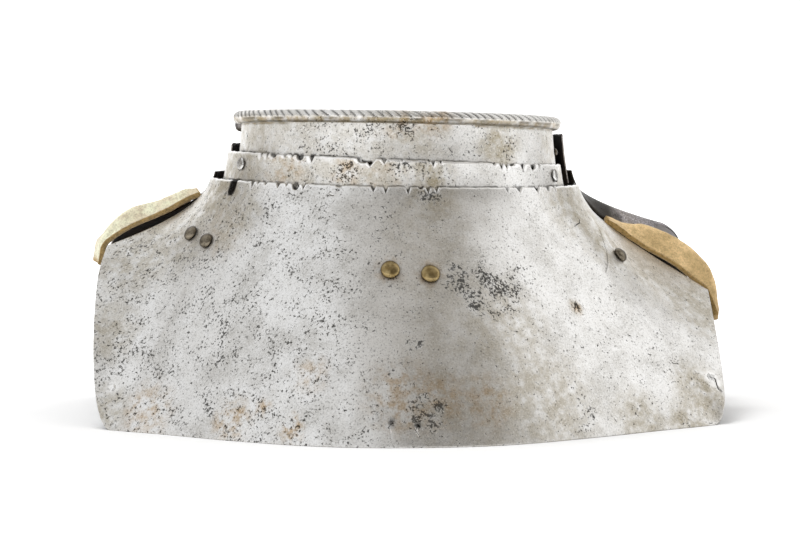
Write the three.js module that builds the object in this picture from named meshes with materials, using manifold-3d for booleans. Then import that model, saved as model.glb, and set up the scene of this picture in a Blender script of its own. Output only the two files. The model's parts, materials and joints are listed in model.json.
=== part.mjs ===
// Steel gorget in millimetres, +Z up, the front towards -Y, standing on its lower edges at z = 0.
// A turn is an angle round the neck: 0 at the front, +90 at the wearer's left, 180 at the back.

import * as THREE from "three";
import { mergeVertices } from "three/addons/utils/BufferGeometryUtils.js";
import Module from "manifold-3d";

const wasm = await Module();
wasm.setup();

// Driving dimensions
const PLATE_THICKNESS = 1.4;
const LAME_THICKNESS = 1.1;
const LEATHER_THICKNESS = 2.8;
const RIM_RADIUS = 3.1;
const RIM_OUTWARD = 1.1;
const RIM_SIDES = 8;
const RIM_STEPS = 30;
const RUNNING_GAP = 0.5;
const RIVET_SEAT = 0.45;
const HOLE_CLEARANCE = 0.35;
const DRILL_LENGTH = 19;
const STRAP_HOLE_RADIUS = 3.1;
const PLATE_COLUMNS = 40;
const PLATE_ROWS = 8;
const LAME_COLUMNS = 32;
const LAME_ROWS = 2;
const LEATHER_COLUMNS = 12;
const LEATHER_ROWS = 4;
const FLARE_OUTWARD = 2.6;
const LAME_HOLLOW = 0.4;
const FRONT_SPAN = { from: -96, to: 96 };
const BACK_SPAN = { from: 98, to: 261 };
const NOTCH_ABOVE = 1.5;
const NOTCH_LENGTH = 8;
const RIM_END_INSET = 1.2;
const TAIL_OVER_SHANK = 1.2;
const TAIL_TALL = 0.8;
const PIVOT_SLACK = 0.2;
const TONGUE = { from: -67.5, to: -103, top: 0.31, bottom: 0.46, landing: 101.5, sink: 1.2 };

// Necks: half width across, depth to the front and back, height at the middle, and how the top edge
// leans across (leanX) and along (leanY)
const FRONT_NECK = {
  middle: -0.6, half: 88, front: 72, back: 76, height: 111.5, leanX: -0.021, leanY: -0.012,
};
const BACK_NECK = {
  middle: -0.6, half: 87.3, front: 72, back: 76, height: 115.5, leanX: 0, leanY: -0.02,
};

// The outer edge of each large plate: a point for each turn round the neck. drop is how far the neck
// wall runs down before it flares, inset and rise say how the plate comes in to its edge.
const FRONT_EDGE = [
  { at: -96, x: -138.2, y: 2, z: 80.7, drop: 13, inset: 26, rise: 9 },
  { at: -88, x: -142, y: -14, z: 68.5, drop: 13, inset: 28, rise: 14 },
  { at: -80, x: -143.6, y: -32, z: 50, drop: 13, inset: 30, rise: 22 },
  { at: -73, x: -143.6, y: -47, z: 28, drop: 13, inset: 30, rise: 30 },
  { at: -67, x: -141.4, y: -58, z: 9, drop: 13, inset: 29, rise: 38 },
  { at: -62, x: -136, y: -65, z: 0, drop: 13, inset: 28, rise: 44 },
  { at: -50, x: -112, y: -82, z: 0, drop: 13, inset: 25, rise: 48 },
  { at: -34, x: -80, y: -107, z: 0, drop: 13, inset: 22, rise: 50 },
  { at: -17, x: -42, y: -129, z: 0, drop: 13, inset: 20, rise: 52 },
  { at: 0, x: -2, y: -136, z: 0, drop: 13, inset: 20, rise: 52 },
  { at: 17, x: 40, y: -130, z: 0, drop: 13, inset: 20, rise: 52 },
  { at: 34, x: 82, y: -107, z: 0, drop: 13, inset: 22, rise: 50 },
  { at: 50, x: 118, y: -82, z: 0, drop: 13, inset: 26, rise: 48 },
  { at: 60, x: 145, y: -64, z: 0, drop: 13, inset: 30, rise: 45 },
  { at: 66, x: 150.6, y: -56, z: 9, drop: 14, inset: 32, rise: 38 },
  { at: 73, x: 151.2, y: -44, z: 24, drop: 14, inset: 33, rise: 32 },
  { at: 80, x: 151.2, y: -31, z: 36, drop: 15, inset: 33, rise: 27 },
  { at: 88, x: 151.3, y: -15, z: 47.5, drop: 15, inset: 33, rise: 23 },
  { at: 96, x: 151.4, y: 2, z: 58.1, drop: 15.5, inset: 33, rise: 20 },
];
const BACK_EDGE = [
  { at: 98, x: 127, y: 21, z: 80, drop: 14, inset: 23, rise: 5 },
  { at: 105, x: 131.5, y: 33, z: 88.5, drop: 12, inset: 23, rise: 6 },
  { at: 110, x: 142, y: 42, z: 81, drop: 12, inset: 26, rise: 9 },
  { at: 117, x: 149, y: 55, z: 58, drop: 12, inset: 28, rise: 20 },
  { at: 124, x: 148, y: 67, z: 32, drop: 13, inset: 28, rise: 30 },
  { at: 131, x: 140, y: 78, z: 8, drop: 13, inset: 27, rise: 40 },
  { at: 136, x: 131, y: 86, z: 0, drop: 13, inset: 26, rise: 44 },
  { at: 150, x: 92, y: 108, z: 0, drop: 14, inset: 22, rise: 48 },
  { at: 165, x: 45, y: 121, z: 0, drop: 14, inset: 20, rise: 50 },
  { at: 180, x: -2, y: 125, z: 0, drop: 14, inset: 20, rise: 50 },
  { at: 195, x: -47, y: 121, z: 0, drop: 14, inset: 20, rise: 50 },
  { at: 210, x: -92, y: 107, z: 0, drop: 14, inset: 22, rise: 48 },
  { at: 224, x: -128, y: 85, z: 0, drop: 13, inset: 26, rise: 44 },
  { at: 230, x: -136, y: 76, z: 9, drop: 13, inset: 27, rise: 38 },
  { at: 238, x: -141, y: 62, z: 36, drop: 13, inset: 28, rise: 29 },
  { at: 246, x: -141, y: 47, z: 62, drop: 13, inset: 28, rise: 18 },
  { at: 254, x: -137, y: 32, z: 80, drop: 13, inset: 26, rise: 11 },
  { at: 261, x: -129, y: 17, z: 88.5, drop: 13, inset: 24, rise: 7 },
];

// Neck lames: the upper and lower edge of each, half width and depth, and how the upper edge leans
const LAMES = {
  frontMiddle: {
    from: -93, to: 93, middle: -0.8, upper: 79.4, lower: 83.6, upperFront: 69.6, lowerFront: 70.6,
    upperBack: 74, lowerBack: 75, height: 122.4, tall: 20, leanX: -0.043, leanY: -0.03,
  },
  frontCollar: {
    from: -95, to: 95, middle: 0.6, upper: 74.2, lower: 77, upperFront: 66.2, lowerFront: 67.4,
    upperBack: 70, lowerBack: 71, height: 139.6, tall: 27, leanX: -0.024, leanY: -0.063,
  },
  backMiddle: {
    from: 98, to: 262, middle: 1.4, upper: 80.8, lower: 84, upperFront: 70, lowerFront: 71, upperBack: 71.5,
    lowerBack: 74, height: 131.5, tall: 24, leanX: 0.025, leanY: -0.05,
  },
  backCollar: {
    from: 101, to: 259, middle: 0, upper: 74.5, lower: 78, upperFront: 66, lowerFront: 67, upperBack: 68,
    lowerBack: 69.5, height: 137.6, tall: 24, leanX: 0, leanY: -0.03,
  },
};

// Cuts in the notched upper edges: where, how wide and how deep, and whether the cut is a round scoop
const FRONT_MIDDLE_CUTS = [
  { at: -54.2, wide: 1.6, deep: 2.6 },
  { at: -51, wide: 1.6, deep: 2.4 },
  { at: -48, wide: 4.2, deep: 1.8, round: true },
  { at: -42.6, wide: 2, deep: 1.2 },
  { at: -36.2, wide: 4, deep: 2, round: true },
  { at: -31.6, wide: 2.4, deep: 2.8 },
  { at: -6.3, wide: 2.6, deep: 2 },
  { at: 10, wide: 2.2, deep: 2.2 },
  { at: 35.7, wide: 2.6, deep: 3 },
  { at: 39, wide: 3.6, deep: 1.8, round: true },
  { at: 45.8, wide: 2.8, deep: 3 },
  { at: 51.7, wide: 4.4, deep: 2.2, round: true },
  { at: 56, wide: 2.2, deep: 2 },
];
const FRONT_PLATE_CUTS = [
  { at: -51.4, wide: 2.6, deep: 3 },
  { at: -45.6, wide: 1.8, deep: 1.2 },
  { at: -40.5, wide: 2.4, deep: 1.8 },
  { at: -34.4, wide: 4.4, deep: 2, round: true },
  { at: -31.2, wide: 2, deep: 2.2 },
  { at: -9.2, wide: 2.6, deep: 2.2 },
  { at: -5.5, wide: 2.4, deep: 2.4 },
  { at: -2.4, wide: 4, deep: 1.6, round: true },
  { at: 1.2, wide: 2.4, deep: 2.6 },
  { at: 7.2, wide: 2.2, deep: 2.4 },
  { at: 9.8, wide: 2.2, deep: 2 },
  { at: 33.4, wide: 2.2, deep: 2.2 },
  { at: 38.1, wide: 4.2, deep: 1.8 },
  { at: 45.9, wide: 4.4, deep: 2.2, round: true },
  { at: 51.8, wide: 3.4, deep: 1.4, round: true },
  { at: 55.3, wide: 2, deep: 2 },
];

// Rivets through one plate: turn and how far down the plate, head radius and height
const CHEST_RIVET = { head: 4.4, tall: 2.3, shank: 1.6 };
const SHOULDER_RIVET = { head: 3.7, tall: 2.4, shank: 1.6 };
const LAME_RIVET = { head: 3.1, tall: 1.1, shank: 1.2 };
const COLLAR_RIVET = { head: 1.7, tall: 1, shank: 0.9 };
const PLACES = {
  chestLeft: { turn: -3.93, down: 0.461 },
  chestRight: { turn: 5.87, down: 0.475 },
  pivot: { turn: -72.96, down: 0.385 },
  shoulderLower: { turn: -62.43, down: 0.361 },
  stud: { turn: 72.87, down: 0.468 },
  strapHole: { turn: 101.6, down: 0.7 },
};

// Plain holes in the front plate
const FRONT_HOLES = [
  { turn: -3.3, down: 0.93, radius: 1.5 },
  { turn: 1.5, down: 0.938, radius: 1.4 },
  { turn: -66.94, down: 0.917, radius: 1.3 },
  { turn: 68.07, down: 0.931, radius: 1.3 },
];
const SLOT = { turn: -61.3, from: 0.012, to: 0.105, radius: 0.8 };

// The leather pieces along the shoulders, from the neck outwards. The hind edge lies on the back plate at
// the left and under the strap at the right.
const LEATHER_CREST_AT = 0.42;
const LEATHER_LEFT = {
  front: [
    { at: 0, x: -93.8, y: 8, z: 106.4 },
    { at: 0.12, x: -99.4, y: 8, z: 104.4 },
    { at: 0.35, x: -112.4, y: 8, z: 97.6 },
    { at: 0.6, x: -126.6, y: 8.6, z: 91.2 },
    { at: 0.8, x: -137, y: 9, z: 85.4 },
    { at: 0.92, x: -141.6, y: 9, z: 80.4 },
    { at: 1, x: -143.2, y: 8, z: 71.2 },
  ],
  crest: [
    { at: 0, x: -95.4, y: 13, z: 107 },
    { at: 0.12, x: -101.6, y: 14.6, z: 106.2 },
    { at: 0.35, x: -113.4, y: 15, z: 101.2 },
    { at: 0.6, x: -127, y: 15, z: 97.4 },
    { at: 0.8, x: -136.4, y: 15, z: 90.2 },
    { at: 0.92, x: -141.6, y: 12, z: 82.6 },
    { at: 1, x: -143.8, y: 10, z: 72 },
  ],
  hind: [
    { at: 0, x: -98.1, y: 25.2, z: 103.8 },
    { at: 0.12, x: -106.1, y: 30.6, z: 96.4 },
    { at: 0.35, x: -115, y: 34.6, z: 89.8 },
    { at: 0.6, x: -125.1, y: 38.1, z: 83.8 },
    { at: 0.8, x: -134.4, y: 37, z: 84.4 },
    { at: 0.92, x: -143.2, y: 25, z: 82.4 },
    { at: 1, x: -145.6, y: 15, z: 72.4 },
  ],
};
const LEATHER_RIGHT = {
  front: [
    { at: 0, x: 102.4, y: 7, z: 92 },
    { at: 0.14, x: 108.4, y: 6, z: 89.4 },
    { at: 0.34, x: 121.6, y: 5, z: 80.8 },
    { at: 0.55, x: 135, y: 4, z: 73.8 },
    { at: 0.72, x: 145.6, y: 3.4, z: 68.6 },
    { at: 0.84, x: 152.6, y: 3, z: 62.4 },
    { at: 1, x: 156.2, y: 1, z: 46 },
  ],
  crest: [
    { at: 0, x: 103, y: 10, z: 94 },
    { at: 0.14, x: 110.4, y: 11, z: 91.6 },
    { at: 0.34, x: 122.8, y: 12, z: 88 },
    { at: 0.55, x: 135.8, y: 12, z: 82.6 },
    { at: 0.72, x: 146.8, y: 11, z: 76 },
    { at: 0.84, x: 154.4, y: 9, z: 65 },
    { at: 1, x: 157.4, y: 6, z: 47 },
  ],
  hind: [
    { at: 0, x: 102, y: 14.4, z: 96.8 },
    { at: 0.14, x: 111, y: 17.2, z: 91.6 },
    { at: 0.34, x: 122.8, y: 20, z: 84 },
    { at: 0.55, x: 135.2, y: 22.6, z: 77.4 },
    { at: 0.72, x: 147.8, y: 25.3, z: 67.4 },
    { at: 0.84, x: 156, y: 21.7, z: 56 },
    { at: 1, x: 158.4, y: 14, z: 42 },
  ],
};

const rad = THREE.MathUtils.degToRad;

// Smooth value of one named column between the rows of a table
function between(rows, at, name) {
  let i = 0;
  while (i < rows.length - 2 && at > rows[i + 1].at) {
    i += 1;
  }
  const slope = (j) => {
    const low = rows[Math.max(j - 1, 0)];
    const high = rows[Math.min(j + 1, rows.length - 1)];
    return (high[name] - low[name]) / (high.at - low.at);
  };
  const a = rows[i];
  const b = rows[i + 1];
  const span = b.at - a.at;
  const t = (at - a.at) / span;
  const t2 = t * t;
  const t3 = t2 * t;
  const start = (2 * t3 - 3 * t2 + 1) * a[name] + (t3 - 2 * t2 + t) * slope(i) * span;
  return start + (3 * t2 - 2 * t3) * b[name] + (t3 - t2) * slope(i + 1) * span;
}

function neckPoint(neck, turn) {
  const c = Math.cos(rad(turn));
  const x = neck.middle + neck.half * Math.sin(rad(turn));
  const y = -(c > 0 ? neck.front : neck.back) * c;
  return new THREE.Vector3(x, y, neck.height + neck.leanX * x + neck.leanY * y);
}

// A point of a large plate's outer face: down runs from 0 at the neck to 1 at the outer edge
function platePoint(neck, rows, turn, down) {
  const top = neckPoint(neck, turn);
  const value = (name) => between(rows, turn, name);
  const edge = new THREE.Vector3(value("x"), value("y"), Math.max(0, value("z")));
  const flare = top.clone();
  flare.x += FLARE_OUTWARD * Math.sin(rad(turn));
  flare.y -= FLARE_OUTWARD * Math.cos(rad(turn));
  flare.z -= value("drop");
  const inward = new THREE.Vector3(top.x - edge.x, top.y - edge.y, 0).normalize();
  const hip = edge.clone().addScaledVector(inward, value("inset"));
  hip.z += value("rise");
  const up = 1 - down;
  return new THREE.Vector3()
    .addScaledVector(top, up ** 3)
    .addScaledVector(flare, 3 * up * up * down)
    .addScaledVector(hip, 3 * up * down * down)
    .addScaledVector(edge, down ** 3);
}

const frontPlate = (turn, down) => platePoint(FRONT_NECK, FRONT_EDGE, turn, down);
const backPlate = (turn, down) => platePoint(BACK_NECK, BACK_EDGE, turn, down);

// A point of a neck lame's outer face, a slightly hollow cone on an ellipse
function lamePoint(lame, turn, down) {
  const c = Math.cos(rad(turn));
  const hollow = Math.sin(Math.PI * down) * LAME_HOLLOW;
  const half = THREE.MathUtils.lerp(lame.upper, lame.lower, down) - hollow;
  const upperDepth = c > 0 ? lame.upperFront : lame.upperBack;
  const lowerDepth = c > 0 ? lame.lowerFront : lame.lowerBack;
  const depth = THREE.MathUtils.lerp(upperDepth, lowerDepth, down) - hollow;
  const x = lame.middle + half * Math.sin(rad(turn));
  const y = -depth * c;
  return new THREE.Vector3(x, y, lame.height + lame.leanX * x + lame.leanY * y - lame.tall * down);
}

// Across the leather: front edge, crest and hind edge joined by one smooth curve
function leatherPoint(edges, along, across) {
  const row = (at, edge) => ({
    at, x: between(edge, along, "x"), y: between(edge, along, "y"), z: between(edge, along, "z"),
  });
  const section = [row(0, edges.front), row(LEATHER_CREST_AT, edges.crest), row(1, edges.hind)];
  const place = (name) => between(section, across, name);
  return new THREE.Vector3(place("x"), place("y"), place("z"));
}

// Outward normal of a face given as point(u, v), where v runs downward and u runs with the turn
function normalAt(point, u, v, stepU) {
  const alongU = point(u + stepU, v).sub(point(u - stepU, v));
  const alongV = point(u, Math.min(1, v + 0.002)).sub(point(u, Math.max(0, v - 0.002)));
  return alongV.cross(alongU).normalize();
}

// A sheet of even thickness under an outer face, as one closed body
function sheet({ point, from, to, top = 0, bottom = 1, columns, rows, thickness, flip = false, lift = 0 }) {
  const positions = [];
  const count = (columns + 1) * (rows + 1);
  const stepU = (to - from) / 2000;
  for (const depth of [0, thickness]) {
    for (let i = 0; i <= columns; i += 1) {
      for (let j = 0; j <= rows; j += 1) {
        const u = THREE.MathUtils.lerp(from, to, i / columns);
        const v = THREE.MathUtils.lerp(top, bottom, j / rows);
        const outward = normalAt(point, u, v, Math.abs(stepU));
        const p = point(u, v).addScaledVector(outward, lift - depth);
        positions.push(p.x, p.y, Math.max(0, p.z));
      }
    }
  }
  const triangles = [];
  const at = (i, j) => i * (rows + 1) + j;
  for (let i = 0; i < columns; i += 1) {
    for (let j = 0; j < rows; j += 1) {
      const a = at(i, j);
      const b = at(i + 1, j);
      const c = at(i, j + 1);
      const d = at(i + 1, j + 1);
      triangles.push([a, c, b], [b, c, d]);
      triangles.push([a + count, b + count, c + count], [b + count, d + count, c + count]);
    }
  }
  const wall = (p, q) => triangles.push([q, p, p + count], [q, p + count, q + count]);
  for (let i = 0; i < columns; i += 1) {
    wall(at(i + 1, 0), at(i, 0));
    wall(at(i, rows), at(i + 1, rows));
  }
  for (let j = 0; j < rows; j += 1) {
    wall(at(0, j), at(0, j + 1));
    wall(at(columns, j + 1), at(columns, j));
  }
  const geometry = new THREE.BufferGeometry();
  geometry.setAttribute("position", new THREE.Float32BufferAttribute(positions, 3));
  geometry.setIndex(triangles.flatMap(([a, b, c]) => (flip ? [a, c, b] : [a, b, c])));
  return geometry;
}

function solid(geometry) {
  const bare = geometry.clone();
  bare.deleteAttribute("normal");
  bare.deleteAttribute("uv");
  const merged = mergeVertices(bare, 1e-5);
  const vertProperties = new Float32Array(merged.attributes.position.array);
  const triVerts = new Uint32Array(merged.index.array);
  return new wasm.Manifold(new wasm.Mesh({ numProp: 3, vertProperties, triVerts }));
}

function geometryOf(body) {
  const mesh = body.getMesh();
  const geometry = new THREE.BufferGeometry();
  geometry.setAttribute("position", new THREE.BufferAttribute(new Float32Array(mesh.vertProperties), 3));
  geometry.setIndex(new THREE.BufferAttribute(new Uint32Array(mesh.triVerts), 1));
  const faceted = geometry.toNonIndexed();
  faceted.computeVertexNormals();
  return faceted;
}

function subtractAll(body, cutters) {
  return cutters.reduce((rest, cutter) => rest.subtract(cutter), body);
}

// A round cutter through a plate, along its normal
function drill(point, turn, down, radius) {
  const outward = normalAt(point, turn, down, 0.05);
  const geometry = new THREE.CylinderGeometry(radius, radius, DRILL_LENGTH, 12);
  const turned = new THREE.Quaternion().setFromUnitVectors(new THREE.Vector3(0, 1, 0), outward);
  const centre = point(turn, down);
  geometry.applyMatrix4(new THREE.Matrix4().compose(centre, turned, new THREE.Vector3(1, 1, 1)));
  return solid(geometry);
}

// A cutter for one notch in an upper edge: a V, or a round scoop
function notch(point, cut) {
  const shape = new THREE.Shape();
  const half = cut.wide / 2;
  if (cut.round) {
    shape.moveTo(-half, NOTCH_ABOVE);
    shape.lineTo(-half, 0);
    shape.quadraticCurveTo(0, -2 * cut.deep, half, 0);
    shape.lineTo(half, NOTCH_ABOVE);
  } else {
    const over = 1 + NOTCH_ABOVE / cut.deep;
    shape.moveTo(-half * over, NOTCH_ABOVE);
    shape.lineTo(0, -cut.deep);
    shape.lineTo(half * over, NOTCH_ABOVE);
  }
  shape.closePath();
  const along = { depth: NOTCH_LENGTH, bevelEnabled: false, curveSegments: 3 };
  const geometry = new THREE.ExtrudeGeometry(shape, along);
  geometry.translate(0, 0, -NOTCH_LENGTH / 2);
  const outward = normalAt(point, cut.at, 0, 0.05);
  const across = point(cut.at + 0.05, 0).sub(point(cut.at - 0.05, 0)).normalize();
  const upward = outward.clone().cross(across).normalize();
  const frame = new THREE.Matrix4().makeBasis(across, upward, outward).setPosition(point(cut.at, 0));
  geometry.applyMatrix4(frame);
  return solid(geometry);
}

// The turned edge at the top of a collar, a roll just outside the wall
function rimRoll(lame) {
  const points = [];
  for (let i = 0; i <= RIM_STEPS; i += 1) {
    const turn = THREE.MathUtils.lerp(lame.from + RIM_END_INSET, lame.to - RIM_END_INSET, i / RIM_STEPS);
    const outward = new THREE.Vector3(Math.sin(rad(turn)), -Math.cos(rad(turn)), 0);
    points.push(lamePoint(lame, turn, 0).addScaledVector(outward, RIM_OUTWARD));
  }
  const path = new THREE.CatmullRomCurve3(points, false, "centripetal");
  const circle = new THREE.Shape();
  for (let i = 0; i < RIM_SIDES; i += 1) {
    const angle = (2 * Math.PI * i) / RIM_SIDES;
    const x = RIM_RADIUS * Math.cos(angle);
    const y = RIM_RADIUS * Math.sin(angle);
    if (i === 0) {
      circle.moveTo(x, y);
    } else {
      circle.lineTo(x, y);
    }
  }
  circle.closePath();
  return new THREE.ExtrudeGeometry(circle, { steps: RIM_STEPS, extrudePath: path, bevelEnabled: false });
}

// A domed rivet on the Y axis: head above 0, shank through grip, and a flat tail inside
function rivetGeometry(kind, grip) {
  const tailRadius = kind.shank + TAIL_OVER_SHANK;
  const profile = [new THREE.Vector2(0, -grip - TAIL_TALL)];
  profile.push(new THREE.Vector2(tailRadius, -grip - TAIL_TALL));
  profile.push(new THREE.Vector2(tailRadius, -grip));
  profile.push(new THREE.Vector2(kind.shank, -grip));
  profile.push(new THREE.Vector2(kind.shank, RIVET_SEAT));
  profile.push(new THREE.Vector2(kind.head, RIVET_SEAT));
  const steps = 3;
  for (let i = 1; i <= steps; i += 1) {
    const angle = (Math.PI / 2) * (i / steps);
    const radius = i === steps ? 0 : kind.head * Math.cos(angle);
    profile.push(new THREE.Vector2(radius, RIVET_SEAT + kind.tall * Math.sin(angle)));
  }
  return new THREE.LatheGeometry(profile, 12);
}

// The tongue of the back plate that passes under the front plate's shoulder to the pivot
function tonguePoint(turn, down) {
  const start = FRONT_SPAN.from;
  if (turn >= start) {
    return frontPlate(turn, down);
  }
  const share = THREE.MathUtils.smoothstep(-turn, -start, TONGUE.landing);
  const ahead = frontPlate(start, down).addScaledVector(
    frontPlate(start, down).sub(frontPlate(start + 1, down)), start - turn);
  const outward = normalAt(backPlate, 360 + turn, down, 0.05);
  const landing = backPlate(360 + turn, down).addScaledVector(outward, TONGUE.sink);
  return ahead.lerp(landing, share);
}

const steel = () => new THREE.MeshStandardMaterial({ color: 0xb9b6b0, roughness: 0.32, metalness: 1 });
const innerSteel = () => new THREE.MeshStandardMaterial({ color: 0x8d8982, roughness: 0.45, metalness: 1 });
const brass = () => new THREE.MeshStandardMaterial({ color: 0xa89468, roughness: 0.42, metalness: 1 });
const iron = () => new THREE.MeshStandardMaterial({ color: 0x8b8272, roughness: 0.5, metalness: 1 });
const buff = () => new THREE.MeshStandardMaterial({ color: 0xc9a869, roughness: 0.85, metalness: 0 });

const frontHalf = new THREE.Group();
const backHalf = new THREE.Group();

function addMesh(parent, name, geometry, material) {
  const mesh = new THREE.Mesh(geometry, material);
  mesh.name = name;
  parent.add(mesh);
  return mesh;
}

function addRivet(parent, name, kind, point, place, grip, material) {
  const mesh = addMesh(parent, name, rivetGeometry(kind, grip), material);
  mesh.position.copy(point(place.turn, place.down));
  const outward = normalAt(point, place.turn, place.down, 0.05);
  mesh.quaternion.setFromUnitVectors(new THREE.Vector3(0, 1, 0), outward);
  return mesh;
}

function shankHole(point, place, kind) {
  return drill(point, place.turn, place.down, kind.shank + HOLE_CLEARANCE);
}

// Large plates
const frontSheet = sheet({
  point: frontPlate, ...FRONT_SPAN, columns: PLATE_COLUMNS, rows: PLATE_ROWS, thickness: PLATE_THICKNESS,
});
const slotCutters = [0, 0.5, 1].map((share) => {
  const down = THREE.MathUtils.lerp(SLOT.from, SLOT.to, share);
  return drill(frontPlate, SLOT.turn, down, SLOT.radius);
});
const frontBody = subtractAll(solid(frontSheet), [
  ...FRONT_PLATE_CUTS.map((cut) => notch(frontPlate, cut)),
  ...FRONT_HOLES.map((hole) => drill(frontPlate, hole.turn, hole.down, hole.radius)),
  ...slotCutters,
  shankHole(frontPlate, PLACES.chestLeft, CHEST_RIVET),
  shankHole(frontPlate, PLACES.chestRight, CHEST_RIVET),
  shankHole(frontPlate, PLACES.pivot, SHOULDER_RIVET),
  shankHole(frontPlate, PLACES.shoulderLower, SHOULDER_RIVET),
  shankHole(frontPlate, PLACES.stud, SHOULDER_RIVET),
]);
addMesh(frontHalf, "front_plate", geometryOf(frontBody), steel());

const backSheet = sheet({
  point: backPlate, ...BACK_SPAN, columns: PLATE_COLUMNS, rows: PLATE_ROWS, thickness: PLATE_THICKNESS,
});
const tongue = sheet({
  point: tonguePoint, from: TONGUE.from, to: TONGUE.to, top: TONGUE.top, bottom: TONGUE.bottom,
  columns: 9, rows: 2, thickness: PLATE_THICKNESS, flip: true, lift: -PLATE_THICKNESS - RUNNING_GAP,
});
const backBody = subtractAll(solid(backSheet).add(solid(tongue)), [
  shankHole(frontPlate, PLACES.pivot, SHOULDER_RIVET),
  drill(backPlate, PLACES.strapHole.turn, PLACES.strapHole.down, STRAP_HOLE_RADIUS),
]);
addMesh(backHalf, "back_plate", geometryOf(backBody), innerSteel());

// Neck lames
function lameSheet(lame) {
  return solid(sheet({
    point: (turn, down) => lamePoint(lame, turn, down), from: lame.from, to: lame.to, columns: LAME_COLUMNS,
    rows: LAME_ROWS, thickness: LAME_THICKNESS,
  }));
}

const LAME_PLACES = {
  frontLeft: { turn: -66, down: 0.3, grip: 6.5 },
  frontRight: { turn: 67, down: 0.28, grip: 3.7 },
  backLeft: { turn: 246, down: 0.4, grip: 4.8 },
  backRight: { turn: 114, down: 0.4, grip: 7.9 },
  collar: { turn: 84, down: 0.5 },
};
const middlePoint = (turn, down) => lamePoint(LAMES.frontMiddle, turn, down);
const backMiddlePoint = (turn, down) => lamePoint(LAMES.backMiddle, turn, down);
const collarPoint = (turn, down) => lamePoint(LAMES.frontCollar, turn, down);
const frontLameHoles = [
  shankHole(middlePoint, LAME_PLACES.frontLeft, LAME_RIVET),
  shankHole(middlePoint, LAME_PLACES.frontRight, LAME_RIVET),
];
const backLameHoles = [
  shankHole(backMiddlePoint, LAME_PLACES.backLeft, LAME_RIVET),
  shankHole(backMiddlePoint, LAME_PLACES.backRight, LAME_RIVET),
];
const frontMiddle = subtractAll(lameSheet(LAMES.frontMiddle), [
  ...FRONT_MIDDLE_CUTS.map((cut) => notch(middlePoint, cut)),
  ...frontLameHoles,
]);
addMesh(frontHalf, "front_middle_lame", geometryOf(frontMiddle), steel());

const frontCollarBlank = lameSheet(LAMES.frontCollar).add(solid(rimRoll(LAMES.frontCollar)));
const frontCollar = subtractAll(frontCollarBlank, [
  ...frontLameHoles,
  shankHole(collarPoint, LAME_PLACES.collar, COLLAR_RIVET),
]);
addMesh(frontHalf, "front_collar", geometryOf(frontCollar), steel());

const backMiddle = subtractAll(lameSheet(LAMES.backMiddle), backLameHoles);
addMesh(backHalf, "back_middle_lame", geometryOf(backMiddle), innerSteel());
const backCollarBlank = lameSheet(LAMES.backCollar).add(solid(rimRoll(LAMES.backCollar)));
const backCollar = subtractAll(backCollarBlank, backLameHoles);
addMesh(backHalf, "back_collar", geometryOf(backCollar), innerSteel());

// Rivets
const onePlate = PLATE_THICKNESS + RIVET_SEAT;
const pivotGrip = 2 * PLATE_THICKNESS + RUNNING_GAP + RIVET_SEAT + PIVOT_SLACK;
const collarGrip = LAME_THICKNESS + RIVET_SEAT;
const { chestLeft, chestRight, pivot, shoulderLower, stud } = PLACES;
const { frontLeft, frontRight, backLeft, backRight, collar } = LAME_PLACES;
addRivet(frontHalf, "chest_rivet_left", CHEST_RIVET, frontPlate, chestLeft, onePlate, brass());
addRivet(frontHalf, "chest_rivet_right", CHEST_RIVET, frontPlate, chestRight, onePlate, brass());
addRivet(frontHalf, "shoulder_pivot", SHOULDER_RIVET, frontPlate, pivot, pivotGrip, iron());
addRivet(frontHalf, "shoulder_rivet_lower", SHOULDER_RIVET, frontPlate, shoulderLower, onePlate, iron());
addRivet(frontHalf, "shoulder_stud", SHOULDER_RIVET, frontPlate, stud, onePlate, iron());
addRivet(frontHalf, "front_lame_rivet_left", LAME_RIVET, middlePoint, frontLeft, frontLeft.grip, steel());
addRivet(frontHalf, "front_lame_rivet_right", LAME_RIVET, middlePoint, frontRight, frontRight.grip, steel());
addRivet(
  backHalf, "back_lame_rivet_left", LAME_RIVET, backMiddlePoint, backLeft, backLeft.grip, innerSteel(),
);
addRivet(
  backHalf, "back_lame_rivet_right", LAME_RIVET, backMiddlePoint, backRight, backRight.grip, innerSteel(),
);
addRivet(frontHalf, "collar_rivet", COLLAR_RIVET, collarPoint, collar, collarGrip, iron());

// Leather on the shoulders
const leatherLeft = sheet({
  point: (along, across) => leatherPoint(LEATHER_LEFT, along, across), from: 0, to: 1,
  columns: LEATHER_COLUMNS, rows: LEATHER_ROWS, thickness: LEATHER_THICKNESS,
});
addMesh(backHalf, "leather_left", leatherLeft, buff());
const leatherRight = sheet({
  point: (along, across) => leatherPoint(LEATHER_RIGHT, along, across), from: 0, to: 1,
  columns: LEATHER_COLUMNS, rows: LEATHER_ROWS, thickness: -LEATHER_THICKNESS, flip: true,
});
addMesh(backHalf, "leather_right", leatherRight, buff());

// The whole object, with the middle of its box over the origin
const gorget = new THREE.Group();
gorget.add(frontHalf, backHalf);
const box = new THREE.Box3().setFromObject(gorget);
gorget.position.set(-(box.min.x + box.max.x) / 2, -(box.min.y + box.max.y) / 2, -box.min.z);
gorget.updateMatrixWorld(true);

export default gorget;
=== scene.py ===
"""Looks of a steel gorget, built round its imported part.

Sizes are millimetres, +Z up, the front towards -Y. A turn is an angle round the neck in degrees:
0 at the front, +90 at the wearer's left, 180 at the back. Down runs from 0 at a plate's upper edge
to 1 at its lower edge.
"""
import json
import math

import bpy
import numpy as np
from bpy.props import FloatProperty, FloatVectorProperty, IntProperty, PointerProperty
from bpy.types import Operator, Panel, PropertyGroup
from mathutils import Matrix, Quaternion, Vector, noise


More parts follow.
